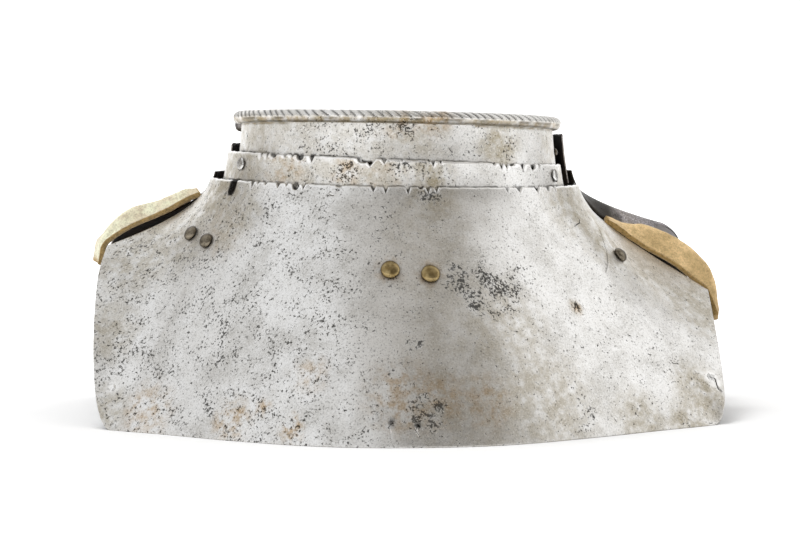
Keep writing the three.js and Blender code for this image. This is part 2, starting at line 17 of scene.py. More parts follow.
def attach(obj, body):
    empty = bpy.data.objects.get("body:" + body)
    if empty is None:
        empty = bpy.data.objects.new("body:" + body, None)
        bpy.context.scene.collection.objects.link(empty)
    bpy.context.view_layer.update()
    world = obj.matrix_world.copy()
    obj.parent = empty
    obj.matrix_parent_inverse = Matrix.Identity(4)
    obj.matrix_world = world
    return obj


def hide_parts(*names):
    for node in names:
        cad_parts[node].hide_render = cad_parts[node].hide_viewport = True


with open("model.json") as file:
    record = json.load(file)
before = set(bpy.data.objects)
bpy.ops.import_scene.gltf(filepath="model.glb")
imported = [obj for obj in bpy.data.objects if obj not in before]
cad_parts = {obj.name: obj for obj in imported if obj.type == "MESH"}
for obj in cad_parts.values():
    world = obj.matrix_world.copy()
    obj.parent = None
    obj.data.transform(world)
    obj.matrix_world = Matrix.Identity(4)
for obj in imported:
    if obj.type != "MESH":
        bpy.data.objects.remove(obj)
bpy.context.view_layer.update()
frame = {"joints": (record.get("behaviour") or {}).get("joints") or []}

bl_info = {
    "name": "Steel gorget",
    "version": (1, 0, 0),
    "blender": (4, 5, 0),
    "location": "3D View > Sidebar > Gorget",
    "description": "Builds the plates, rims, rivets and leather of a steel gorget round its packed part",
    "category": "Object",
}

MM = 0.001

# Necks of the two large plates: half width, depth to the front and back, height and lean of the edge
FRONT_NECK = dict(middle=-0.6, half=88, front=72, back=76, height=111.5, lean_x=-0.021, lean_y=-0.012)
BACK_NECK = dict(middle=-0.6, half=87.3, front=72, back=76, height=115.5, lean_x=0, lean_y=-0.02)
FLARE_OUTWARD = 2.6

# Outer edges of the two large plates, a point for each turn, with the shape of the flare above it
FRONT_EDGE = [
    dict(at=-96, x=-138.2, y=2, z=80.7, drop=13, inset=26, rise=9),
    dict(at=-88, x=-142, y=-14, z=68.5, drop=13, inset=28, rise=14),
    dict(at=-80, x=-143.6, y=-32, z=50, drop=13, inset=30, rise=22),
    dict(at=-73, x=-143.6, y=-47, z=28, drop=13, inset=30, rise=30),
    dict(at=-67, x=-141.4, y=-58, z=9, drop=13, inset=29, rise=38),
    dict(at=-62, x=-136, y=-65, z=0, drop=13, inset=28, rise=44),
    dict(at=-50, x=-112, y=-82, z=0, drop=13, inset=25, rise=48),
    dict(at=-34, x=-80, y=-107, z=0, drop=13, inset=22, rise=50),
    dict(at=-17, x=-42, y=-129, z=0, drop=13, inset=20, rise=52),
    dict(at=0, x=-2, y=-136, z=0, drop=13, inset=20, rise=52),
    dict(at=17, x=40, y=-130, z=0, drop=13, inset=20, rise=52),
    dict(at=34, x=82, y=-107, z=0, drop=13, inset=22, rise=50),
    dict(at=50, x=118, y=-82, z=0, drop=13, inset=26, rise=48),
    dict(at=60, x=145, y=-64, z=0, drop=13, inset=30, rise=45),
    dict(at=66, x=150.6, y=-56, z=9, drop=14, inset=32, rise=38),
    dict(at=73, x=151.2, y=-44, z=24, drop=14, inset=33, rise=32),
    dict(at=80, x=151.2, y=-31, z=36, drop=15, inset=33, rise=27),
    dict(at=88, x=151.3, y=-15, z=47.5, drop=15, inset=33, rise=23),
    dict(at=96, x=151.4, y=2, z=58.1, drop=15.5, inset=33, rise=20),
]
BACK_EDGE = [
    dict(at=98, x=127, y=21, z=80, drop=14, inset=23, rise=5),
    dict(at=105, x=131.5, y=33, z=88.5, drop=12, inset=23, rise=6),
    dict(at=110, x=142, y=42, z=81, drop=12, inset=26, rise=9),
    dict(at=117, x=149, y=55, z=58, drop=12, inset=28, rise=20),
    dict(at=124, x=148, y=67, z=32, drop=13, inset=28, rise=30),
    dict(at=131, x=140, y=78, z=8, drop=13, inset=27, rise=40),
    dict(at=136, x=131, y=86, z=0, drop=13, inset=26, rise=44),
    dict(at=150, x=92, y=108, z=0, drop=14, inset=22, rise=48),
    dict(at=165, x=45, y=121, z=0, drop=14, inset=20, rise=50),
    dict(at=180, x=-2, y=125, z=0, drop=14, inset=20, rise=50),
    dict(at=195, x=-47, y=121, z=0, drop=14, inset=20, rise=50),
    dict(at=210, x=-92, y=107, z=0, drop=14, inset=22, rise=48),
    dict(at=224, x=-128, y=85, z=0, drop=13, inset=26, rise=44),
    dict(at=230, x=-136, y=76, z=9, drop=13, inset=27, rise=38),
    dict(at=238, x=-141, y=62, z=36, drop=13, inset=28, rise=29),
    dict(at=246, x=-141, y=47, z=62, drop=13, inset=28, rise=18),
    dict(at=254, x=-137, y=32, z=80, drop=13, inset=26, rise=11),
    dict(at=261, x=-129, y=17, z=88.5, drop=13, inset=24, rise=7),
]
FRONT_SPAN = (-96, 96)
BACK_SPAN = (98, 261)

# Neck lames, each a slightly hollow cone on an ellipse
FRONT_MIDDLE = dict(
    start=-93, end=93, middle=-0.8, upper=79.4, lower=83.6, upper_front=69.6, lower_front=70.6,
    upper_back=74, lower_back=75, height=122.4, tall=20, lean_x=-0.043, lean_y=-0.03,
)
FRONT_COLLAR = dict(
    start=-95, end=95, middle=0.6, upper=74.2, lower=77, upper_front=66.2, lower_front=67.4,
    upper_back=70, lower_back=71, height=139.6, tall=27, lean_x=-0.024, lean_y=-0.063,
)
BACK_MIDDLE = dict(
    start=98, end=262, middle=1.4, upper=80.8, lower=84, upper_front=70, lower_front=71,
    upper_back=71.5, lower_back=74, height=131.5, tall=24, lean_x=0.025, lean_y=-0.05,
)
BACK_COLLAR = dict(
    start=101, end=259, middle=0, upper=74.5, lower=78, upper_front=66, lower_front=67,
    upper_back=68, lower_back=69.5, height=137.6, tall=24, lean_x=0, lean_y=-0.03,
)
LAME_HOLLOW = 0.4

# Filed cuts in the upper edges: where, how wide and deep in mm, and whether the cut is a round scoop
MIDDLE_CUTS = [
    dict(at=-54.2, wide=1.6, deep=2.6),
    dict(at=-51, wide=1.6, deep=2.4),
    dict(at=-48, wide=4.2, deep=1.8, scoop=True),
    dict(at=-42.6, wide=2, deep=1.4),
    dict(at=-39.4, wide=1.4, deep=0.9),
    dict(at=-36.2, wide=4, deep=2.4, scoop=True),
    dict(at=-31.6, wide=2.4, deep=3),
    dict(at=-13.4, wide=5.4, deep=2.4, scoop=True),
    dict(at=-11, wide=5, deep=3.8),
    dict(at=-6.3, wide=2.6, deep=2.2),
    dict(at=-0.4, wide=1.6, deep=0.9),
    dict(at=8.6, wide=1.8, deep=1),
    dict(at=10, wide=2.2, deep=2.4),
    dict(at=12.6, wide=1.6, deep=1.2),
    dict(at=32.6, wide=2, deep=1),
    dict(at=35.7, wide=2.6, deep=3.2),
    dict(at=38, wide=2.4, deep=2.6),
    dict(at=40.6, wide=3.6, deep=1.2, scoop=True),
    dict(at=45.8, wide=2.8, deep=3.2),
    dict(at=51.7, wide=4.4, deep=2.6, scoop=True),
    dict(at=56, wide=2.2, deep=2.2),
]
PLATE_CUTS = [
    dict(at=-51.4, wide=2.6, deep=3),
    dict(at=-49, wide=1.6, deep=1.2),
    dict(at=-45.6, wide=1.8, deep=1.4),
    dict(at=-40.5, wide=2.4, deep=1.9),
    dict(at=-37.3, wide=1.6, deep=1.5),
    dict(at=-34, wide=4, deep=2.4, scoop=True),
    dict(at=-31.2, wide=2, deep=2.4),
    dict(at=-19.8, wide=3, deep=0.7, scoop=True),
    dict(at=-9.2, wide=2.6, deep=2.4),
    dict(at=-5.5, wide=2.2, deep=2.6),
    dict(at=1.2, wide=2.4, deep=2.8),
    dict(at=5, wide=2.6, deep=1, scoop=True),
    dict(at=7.2, wide=2.2, deep=2.6),
    dict(at=9.8, wide=2, deep=2.2),
    dict(at=33.4, wide=2.2, deep=2.2),
    dict(at=38.1, wide=3.6, deep=2),
    dict(at=45.9, wide=3.6, deep=2.6),
    dict(at=51.6, wide=3.2, deep=1.6, scoop=True),
    dict(at=55.3, wide=2, deep=2.1),
]

# Rivets: head radius and height, shank radius
CHEST_RIVET = dict(head=4.4, tall=2.3, shank=1.6)
SHOULDER_RIVET = dict(head=3.7, tall=2.4, shank=1.6)
LAME_RIVET = dict(head=3.1, tall=1.1, shank=1.2)
COLLAR_RIVET = dict(head=1.7, tall=1, shank=0.9)
RIVET_SEAT = 0.45
TAIL_TALL = 0.8
TAIL_OVER_SHANK = 1.2
HOLE_CLEARANCE = 0.35
RUNNING_GAP = 0.5
PIVOT_SLACK = 0.2
RIM_OUTWARD = 1.1
RIM_END_INSET = 1.2
RIM_REACH = 3.4
PIVOT_PLACE = dict(turn=-72.96, down=0.385)
STRAP_HOLE = dict(turn=101.6, down=0.7, radius=3.1)
FRONT_HOLES = [
    dict(turn=-3.3, down=0.93, radius=1.5),
    dict(turn=1.5, down=0.938, radius=1.4),
    dict(turn=-66.94, down=0.917, radius=1.9),
    dict(turn=68.07, down=0.931, radius=2.2),
]
SLOT = dict(turn=-61.3, start=0.03, end=0.1, radius=2.2)
SLOT_TOP = 113.2  # height of the plate's upper edge at the slot, in mm
TONGUE = dict(start=-67.5, end=-103, top=0.31, bottom=0.46, landing=101.5, sink=1.2)

PLATE_MM_PER_DEGREE = 1.45
PLATE_MM_PER_DOWN = 39.5
LAME_MM_PER_DEGREE = 1.3

# Cracks and scratches in the front plate, as places of turn and down, with their width and depth in mm
CRACKS = [
    dict(way=[(60.4, 0.228), (60.9, 0.246), (59.6, 0.262), (57.6, 0.27), (55.8, 0.282)], wide=0.7, deep=0.7),
    dict(way=[(73.3, 0.323), (69.5, 0.36), (66.2, 0.4), (61, 0.44), (57.1, 0.481)], wide=0.4, deep=0.35),
    dict(way=[(-3.3, 0.93), (-4, 0.943), (-3.6, 0.958)], wide=0.6, deep=0.7),
    dict(way=[(1.5, 0.938), (1.1, 0.952), (1.8, 0.968)], wide=0.6, deep=0.7),
    dict(way=[(68.07, 0.931), (68.9, 0.95), (67.4, 0.967), (67.9, 0.985)], wide=0.8, deep=0.7),
    dict(way=[(42.2, 0.59), (41.6, 0.602), (40.9, 0.616)], wide=0.7, deep=0.4),
    dict(way=[(42.6, 0.604), (41.4, 0.6), (40.6, 0.6)], wide=0.5, deep=0.3),
    dict(way=[(-22.4, 0.09), (-22, 0.1), (-20.8, 0.104)], wide=0.6, deep=0.5),
]

# The leather along each shoulder, from the neck outwards: its front edge, crest and hind edge
LEATHER_CREST_AT = 0.42
LEATHER_SLOPE = 0.567
LEATHER_LINE = 149
LEATHER_LEFT = dict(
    front=[
        dict(at=0, x=-93.8, y=8, z=105.6),
        dict(at=0.12, x=-99.4, y=8, z=103.2),
        dict(at=0.35, x=-112.4, y=8, z=96.2),
        dict(at=0.6, x=-126.6, y=8, z=89.8),
        dict(at=0.8, x=-136.8, y=8, z=84),
        dict(at=0.92, x=-141.2, y=7.4, z=79.2),
        dict(at=1, x=-142.8, y=6.8, z=70.8),
    ],
    crest=[
        dict(at=0, x=-95.4, y=13, z=107),
        dict(at=0.12, x=-101.6, y=14.6, z=106.2),
        dict(at=0.35, x=-113.4, y=15, z=101.2),
        dict(at=0.6, x=-127, y=15, z=97.4),
        dict(at=0.8, x=-136.4, y=15, z=90.2),
        dict(at=0.92, x=-141.6, y=12, z=82.6),
        dict(at=1, x=-143.8, y=10, z=72),
    ],
    hind=[
        dict(at=0, x=-98.1, y=25.2, z=103.8),
        dict(at=0.12, x=-106.1, y=30.6, z=96.4),
        dict(at=0.35, x=-115, y=34.6, z=89.8),
        dict(at=0.6, x=-125.1, y=38.1, z=83.8),
        dict(at=0.8, x=-134.4, y=37, z=84.4),
        dict(at=0.92, x=-143.2, y=25, z=82.4),
        dict(at=1, x=-145.6, y=15, z=72.4),
    ],
)
LEATHER_RIGHT = dict(
    front=[
        dict(at=0, x=102.4, y=7, z=92),
        dict(at=0.14, x=108.4, y=5.6, z=88.2),
        dict(at=0.34, x=121.6, y=5, z=78.4),
        dict(at=0.55, x=135, y=4.4, z=70.8),
        dict(at=0.72, x=145.2, y=4.4, z=62.6),
        dict(at=0.84, x=151.4, y=4.4, z=57.6),
        dict(at=1, x=156.2, y=1, z=46),
    ],
    crest=[
        dict(at=0, x=103.4, y=10, z=91.4),
        dict(at=0.14, x=110.8, y=11, z=89.4),
        dict(at=0.34, x=122.8, y=12, z=88),
        dict(at=0.55, x=135.8, y=12, z=82.6),
        dict(at=0.72, x=146.8, y=11, z=75),
        dict(at=0.84, x=154.4, y=9, z=65),
        dict(at=1, x=157.4, y=6, z=47),
    ],
    hind=[
        dict(at=0, x=103, y=14.4, z=93),
        dict(at=0.14, x=111, y=17.2, z=89.4),
        dict(at=0.34, x=122.8, y=20, z=84),
        dict(at=0.55, x=135.2, y=22.6, z=77.4),
        dict(at=0.72, x=147.8, y=25.3, z=67.4),
        dict(at=0.84, x=156, y=21.7, z=56),
        dict(at=1, x=158.4, y=14, z=42),
    ],
)

# Marks of age, painted shade and painted highlights: each is a soft round spot on a surface, size in mm, and
# each effect's strength
PLATE_MARKS = [
    dict(turn=20.6, down=0.515, size=20, pits=0.95),
    dict(turn=13.2, down=0.49, size=13, pits=1),
    dict(turn=29, down=0.5, size=12, pits=0.75),
    dict(turn=17.5, down=0.58, size=13, pits=0.95),
    dict(turn=3.3, down=0.9, size=11, pits=1.5),
    dict(turn=7.5, down=0.106, size=9, pits=0.9),
    dict(turn=-42.3, down=0.92, size=10, pits=0.9),
    dict(turn=-21.1, down=0.93, size=9, pits=0.8),
    dict(turn=1.5, down=0.703, size=6, pits=1.4),
    dict(turn=-49.8, down=0.229, size=8, pits=0.6),
    dict(turn=-41.9, down=0.675, size=44, pits=0.62),
    dict(turn=-20.3, down=0.57, size=40, pits=0.55),
    dict(turn=-14.2, down=0.585, size=7, pits=0.5),
    dict(turn=-30.8, down=0.2, size=24, pits=0.4),
    dict(turn=-66, down=0.75, size=34, pits=0.34),
    dict(turn=-28, down=0.85, size=40, pits=0.3),
    dict(turn=46, down=0.8, size=34, pits=0.28),
    dict(turn=33, down=0.93, size=14, pits=0.5),
    dict(turn=59.2, down=0.734, size=24, pits=0.4),
    dict(turn=41.6, down=0.602, size=4.5, pits=1, patina=1, stain=0.8),
    dict(turn=-76.9, down=0.465, size=26, patina=0.6),
    dict(turn=-85.7, down=0.75, size=30, patina=0.6),
    dict(turn=-76, down=0.929, size=20, patina=0.6),
    dict(turn=-62, down=0.2, size=24, patina=0.6),
    dict(turn=-57, down=0.33, size=16, patina=0.5, stain=0.25),
    dict(turn=-66, down=0.98, size=16, patina=0.7),
    dict(turn=82.8, down=0.603, size=34, patina=0.55),
    dict(turn=70, down=0.34, size=26, patina=0.85),
    dict(turn=85.8, down=0.9, size=26, patina=0.75),
    dict(turn=61.9, down=0.9, size=20, patina=0.8),
    dict(turn=46.1, down=0.97, size=20, patina=0.7),
    dict(turn=28.1, down=0.96, size=20, patina=0.6),
    dict(turn=55, down=0.99, size=16, patina=0.8),
    dict(turn=8, down=0.1, size=17, patina=0.75),
    dict(turn=-68, down=0.1, size=26, patina=0.85),
    dict(turn=-56, down=0.22, size=22, patina=0.6),
    dict(turn=64, down=0.16, size=28, patina=0.75),
    dict(turn=21, down=0.66, size=30, patina=0.6),
    dict(turn=6, down=0.3, size=26, patina=0.4),
    dict(turn=9, down=0.52, size=28, patina=0.35),
    dict(turn=11, down=0.7, size=34, patina=0.4),
    dict(turn=14, down=0.88, size=44, patina=0.45),
    dict(turn=26, down=0.88, size=36, patina=0.65),
    dict(turn=-0.8, down=0.86, size=20, stain=0.7),
    dict(turn=5.9, down=0.87, size=16, stain=0.6),
    dict(turn=14.6, down=0.88, size=16, stain=0.55),
    dict(turn=-35.2, down=0.94, size=12, stain=0.8),
    dict(turn=-22.6, down=0.96, size=7, stain=1),
    dict(turn=-22, down=0.93, size=4, stain=1),
    dict(turn=-29, down=0.9, size=5, stain=0.8),
    dict(turn=-20.2, down=0.8, size=10, stain=0.5),
    dict(turn=-55.3, down=0.93, size=16, stain=0.6),
    dict(turn=-3.93, down=0.461, size=7.5, stain=0.9, pits=0.5),
    dict(turn=5.87, down=0.475, size=7.5, stain=0.9, pits=0.5),
    # Dark rings round the rivet feet and the holes: dirt with painted shade
    dict(turn=-3.93, down=0.464, size=5.3, dirt=0.9),
    dict(turn=5.87, down=0.478, size=5.3, dirt=0.9),
    dict(turn=-72.96, down=0.388, size=4.2, dirt=0.6),
    dict(turn=-62.43, down=0.364, size=4.2, dirt=0.6),
    dict(turn=-3.3, down=0.93, size=1.9, dirt=0.8),
    dict(turn=1.5, down=0.938, size=1.9, dirt=0.8),
    # Near-white rings on the burred rims of the holes: painted highlight with some bare worn metal
    dict(turn=68.07, down=0.931, size=4.6, worn=1),
    dict(turn=68.5, down=0.965, size=3.4, worn=0.9),
    dict(turn=-66.94, down=0.917, size=3.6, worn=0.8),
]
MIDDLE_MARKS = [
    dict(turn=8, down=0.3, size=15, patina=1),
    dict(turn=-8, down=0.4, size=14, patina=0.65, stain=0.3),
    dict(turn=-66, down=0.4, size=22, patina=0.7),
    dict(turn=-42, down=0.35, size=14, stain=0.5, patina=0.5),
    dict(turn=-19, down=0.35, size=8, stain=0.8, pits=0.8),
    dict(turn=-2, down=0.1, size=9, pits=0.9),
    dict(turn=6, down=0.2, size=8, pits=0.9),
    dict(turn=-34, down=0.4, size=24, pits=0.45),
    dict(turn=14, down=0.3, size=10, pits=0.5),
    dict(turn=-76, down=0.5, size=16, patina=0.8),
    dict(turn=76, down=0.5, size=16, patina=0.6),
]
COLLAR_MARKS = [
    dict(turn=-62, down=0.5, size=24, patina=0.6),
    dict(turn=-28, down=0.5, size=20, pits=0.55),
    dict(turn=-12, down=0.3, size=18, pits=0.55),
    dict(turn=-34, down=0.7, size=14, pits=0.6),
    dict(turn=36, down=0.45, size=15, pits=0.55, patina=0.9),
    dict(turn=22, down=0.5, size=14, pits=0.5),
    dict(turn=4, down=0.35, size=16, patina=0.6),
    dict(turn=-1, down=0.12, size=10, stain=0.6, pits=0.8),
    dict(turn=10, down=0.02, size=10, stain=0.8, pits=0.5),
    dict(turn=-75, down=0.4, size=20, patina=0.5),
    dict(turn=70, down=0.4, size=20, patina=0.5),
]


def linear(hex_colour):
    """An sRGB hex colour as linear red, green and blue."""
    channels = [int(hex_colour[i:i + 2], 16) / 255 for i in (1, 3, 5)]
    return tuple(c / 12.92 if c <= 0.04045 else ((c + 0.055) / 1.055) ** 2.4 for c in channels)


def between(rows, at, name):
    """Smooth value of one named column between the rows of a table."""
    ats = np.array([row["at"] for row in rows], float)
    values = np.array([row[name] for row in rows], float)
    last = len(rows) - 1
    low = np.clip(np.searchsorted(ats, at, side="left") - 1, 0, last - 1)
    before = np.maximum(np.arange(last + 1) - 1, 0)
    after = np.minimum(np.arange(last + 1) + 1, last)
    slopes = (values[after] - values[before]) / (ats[after] - ats[before])
    span = ats[low + 1] - ats[low]
    t = (at - ats[low]) / span
    start = (2 * t**3 - 3 * t**2 + 1) * values[low] + (t**3 - 2 * t**2 + t) * slopes[low] * span
    return start + (3 * t**2 - 2 * t**3) * values[low + 1] + (t**3 - t**2) * slopes[low + 1] * span


def plate_point(neck, rows, turn, down):
    """A point of a large plate's outer face."""
    turn, down = np.broadcast_arrays(np.asarray(turn, float), np.asarray(down, float))
    sine, cosine = np.sin(np.radians(turn)), np.cos(np.radians(turn))
    top_x = neck["middle"] + neck["half"] * sine
    top_y = -np.where(cosine > 0, neck["front"], neck["back"]) * cosine
    top = np.stack([top_x, top_y, neck["height"] + neck["lean_x"] * top_x + neck["lean_y"] * top_y], -1)
    edge = np.stack([between(rows, turn, "x"), between(rows, turn, "y"),
                     np.maximum(0, between(rows, turn, "z"))], -1)
    flare = top + np.stack([FLARE_OUTWARD * sine, -FLARE_OUTWARD * cosine, -between(rows, turn, "drop")], -1)
    inward = (top - edge) * (1, 1, 0)
    inward /= np.linalg.norm(inward, axis=-1, keepdims=True)
    hip = edge + inward * between(rows, turn, "inset")[..., None]
    hip[..., 2] += between(rows, turn, "rise")
    v = down[..., None]
    up = 1 - v
    return top * up**3 + flare * 3 * up**2 * v + hip * 3 * up * v**2 + edge * v**3


def front_plate(turn, down):
    return plate_point(FRONT_NECK, FRONT_EDGE, turn, down)


def back_plate(turn, down):
    return plate_point(BACK_NECK, BACK_EDGE, turn, down)


def lame_surface(lame):
    """A function that gives the points of a neck lame's outer face."""
    def point(turn, down):
        turn, down = np.broadcast_arrays(np.asarray(turn, float), np.asarray(down, float))
        sine, cosine = np.sin(np.radians(turn)), np.cos(np.radians(turn))
        hollow = np.sin(np.pi * down) * LAME_HOLLOW
        half = lame["upper"] + (lame["lower"] - lame["upper"]) * down - hollow
        upper = np.where(cosine > 0, lame["upper_front"], lame["upper_back"])
        lower = np.where(cosine > 0, lame["lower_front"], lame["lower_back"])
        x = lame["middle"] + half * sine
        y = -(upper + (lower - upper) * down - hollow) * cosine
        z = lame["height"] + lame["lean_x"] * x + lame["lean_y"] * y - lame["tall"] * down
        return np.stack([x, y, z], -1)
    return point


def leather_surface(edges):
    """A function that gives the points of a leather piece's upper face."""
    def point(along, across):
        along, across = np.broadcast_arrays(np.asarray(along, float), np.asarray(across, float))
        ats = (0.0, LEATHER_CREST_AT, 1.0)
        columns = []
        for name in "xyz":
            front, crest, hind = (between(edges[edge], along, name) for edge in ("front", "crest", "hind"))
            starts = ((crest - front) / ats[1], (hind - front) / ats[2], (hind - crest) / (ats[2] - ats[1]))
            first = hermite(front, crest, starts[0], starts[1], ats[1], across / ats[1])
            second = hermite(crest, hind, starts[1], starts[2], ats[2] - ats[1],
                             (across - ats[1]) / (ats[2] - ats[1]))
            columns.append(np.where(across <= ats[1], first, second))
        return np.stack(columns, -1)
    return point


def hermite(low, high, slope_low, slope_high, span, t):
    start = (2 * t**3 - 3 * t**2 + 1) * low + (t**3 - 2 * t**2 + t) * slope_low * span
    return start + (3 * t**2 - 2 * t**3) * high + (t**3 - t**2) * slope_high * span


def tongue_point(turn, down):
    """The back plate's tongue, which runs under the front plate's shoulder to the pivot."""
    turn, down = np.broadcast_arrays(np.asarray(turn, float), np.asarray(down, float))
    start = FRONT_SPAN[0]
    edge = front_plate(np.full_like(turn, start), down)
    step = edge - front_plate(np.full_like(turn, start + 1), down)
    ahead = edge + step * (start - turn)[..., None]
    t = np.clip((-turn + start) / (TONGUE["landing"] + start), 0, 1)[..., None]
    share = t * t * (3 - 2 * t)
    behind = np.minimum(360 + turn, BACK_SPAN[1] + 8)
    landing = back_plate(behind, down) + outward(back_plate, behind, down) * TONGUE["sink"]
    return np.where((turn >= start)[..., None], front_plate(np.maximum(turn, start), down),
                    ahead * (1 - share) + landing * share)


def outward(surface, u, v, step_u=0.05):
    """Outward normals of a surface."""
    along_u = surface(u + step_u, v) - surface(u - step_u, v)
    v = np.asarray(v)
    along_v = surface(u, np.minimum(1, v + 0.002)) - surface(u, np.maximum(0, v - 0.002))
    normal = np.cross(along_v, along_u)
    return normal / np.linalg.norm(normal, axis=-1, keepdims=True)


def ripple(points, size, seed):
    """Smooth noise from -1 to 1 with lumps of a size in mm."""
    flat = points.reshape(-1, 3) / size + seed
    values = [noise.noise(Vector(p)) for p in flat]
    return np.array(values).reshape(points.shape[:-1])


PIVOT = next(j for j in frame["joints"] if j["name"] == "shoulder_opening")
SHIFT = np.array(PIVOT["pos_m"]) / MM - front_plate(PIVOT_PLACE["turn"], PIVOT_PLACE["down"])


class GorgetSizes(PropertyGroup):
    """Sizes that shape the looks, in millimetres."""

    plate: FloatProperty(name="Large plates", description="Thickness of the two large plates, mm",
                         default=1.4, min=0.8, max=2.0)
    lame: FloatProperty(name="Neck lames", description="Thickness of the neck lames, mm", default=1.1,
                        min=0.8, max=1.5)
    leather: FloatProperty(name="Leather", description="Thickness of the leather, mm", default=2.8,
                           min=1.5, max=3.0)
    rim: FloatProperty(name="Rim radius", description="Radius of the turned rim, mm", default=3.1,
                       min=2.5, max=3.3)
    flute: FloatProperty(name="Flute spacing", description="Distance between the flutes of the rim, mm",
                         default=4.3, min=2.0, max=8.0)
    flute_depth: FloatProperty(name="Flute depth", description="Depth of the flutes, mm", default=0.75,
                               min=0.0, max=1.2)
    hammering: FloatProperty(name="Hammering", description="Height of the hammered unevenness, mm",
                             default=0.16, min=0.0, max=0.5)
    columns: IntProperty(name="Columns", description="Columns of the large front plate", default=400,
                         min=100, max=440)


class GorgetColours(PropertyGroup):
    """Colours of the finishes."""

    steel: FloatVectorProperty(name="Steel", description="Bright polished steel", subtype="COLOR",
                               default=linear("#EAE9E7"), min=0, max=1)
    dull: FloatVectorProperty(name="Dull steel", description="Steel where the polish has gone",
                              subtype="COLOR", default=linear("#CFCDC9"), min=0, max=1)
    patina: FloatVectorProperty(name="Patina", description="Thin brown film on old steel", subtype="COLOR",
                                default=linear("#A79C84"), min=0, max=1)
    rust: FloatVectorProperty(name="Rust stain", description="Cleaned rust", subtype="COLOR",
                              default=linear("#B08C50"), min=0, max=1)
    pits: FloatVectorProperty(name="Pits", description="Floor of the rust pits", subtype="COLOR",
                              default=linear("#3D3C39"), min=0, max=1)
    inner: FloatVectorProperty(name="Back steel", description="Duller steel of the back half",
                               subtype="COLOR", default=linear("#A29DA0"), min=0, max=1)
    brass: FloatVectorProperty(name="Brass", description="Old brass rivet heads", subtype="COLOR",
                               default=linear("#A39068"), min=0, max=1)
    iron: FloatVectorProperty(name="Iron", description="Brown iron rivet heads", subtype="COLOR",
                              default=linear("#8D8474"), min=0, max=1)
    buff: FloatVectorProperty(name="Buff leather", description="Nap of the golden leather", subtype="COLOR",
                              default=linear("#D3B581"), min=0, max=1)
    # A paler copy of the buff leather, painted light for the brightly lit left shoulder
    pale_buff: FloatVectorProperty(name="Pale leather", description="Faded leather", subtype="COLOR",
                                   default=linear("#E9DCC0"), min=0, max=1)


# Shading


def node(tree, kind, inputs=None, **settings):
    """Add a shader node, set it up and link or fill its inputs."""
    made = tree.nodes.new(kind)
    for name, value in settings.items():
        setattr(made, name, value)
    for name, value in (inputs or {}).items():
        if isinstance(value, bpy.types.NodeSocket):
            tree.links.new(value, made.inputs[name])
        else:
            made.inputs[name].default_value = value
    return made


def new_material(name):
    material = bpy.data.materials.new(name)
    material.use_nodes = True
    material.node_tree.nodes.clear()
    return material


def rgba(colour, alpha=1.0):
    return (*colour, alpha)


def per_metre(size_mm):
    """Noise scale whose lumps have a size in mm."""
    return 1 / (size_mm * MM)


def mixed(tree, share, first, second):
    """Colour between two colours, each a socket or a linear colour."""
    made = node(tree, "ShaderNodeMix", {"Factor": share}, data_type="RGBA")
    for index, value in ((6, first), (7, second)):
        if isinstance(value, bpy.types.NodeSocket):
            tree.links.new(value, made.inputs[index])
        else:
            made.inputs[index].default_value = rgba(value)
    return made.outputs[2]


def maths(tree, operation, *values, clamp=False):
    made = node(tree, "ShaderNodeMath", dict(enumerate(values)), operation=operation, use_clamp=clamp)
    return made.outputs[0]


def ramped(tree, value, low, high, out_low=0.0, out_high=1.0):
    """A value eased from out_low at low to out_high at high."""
    made = node(tree, "ShaderNodeMapRange", {
        "Value": value, "From Min": low, "From Max": high, "To Min": out_low, "To Max": out_high,
    }, interpolation_type="SMOOTHSTEP")
    return made.outputs["Result"]


# Larger pits: mm between them, how many are filled and how far each reaches, as shares of that distance
PIT_LAYERS = ((2.3, 0.5, 0.2), (5.2, 0.2, 0.2))


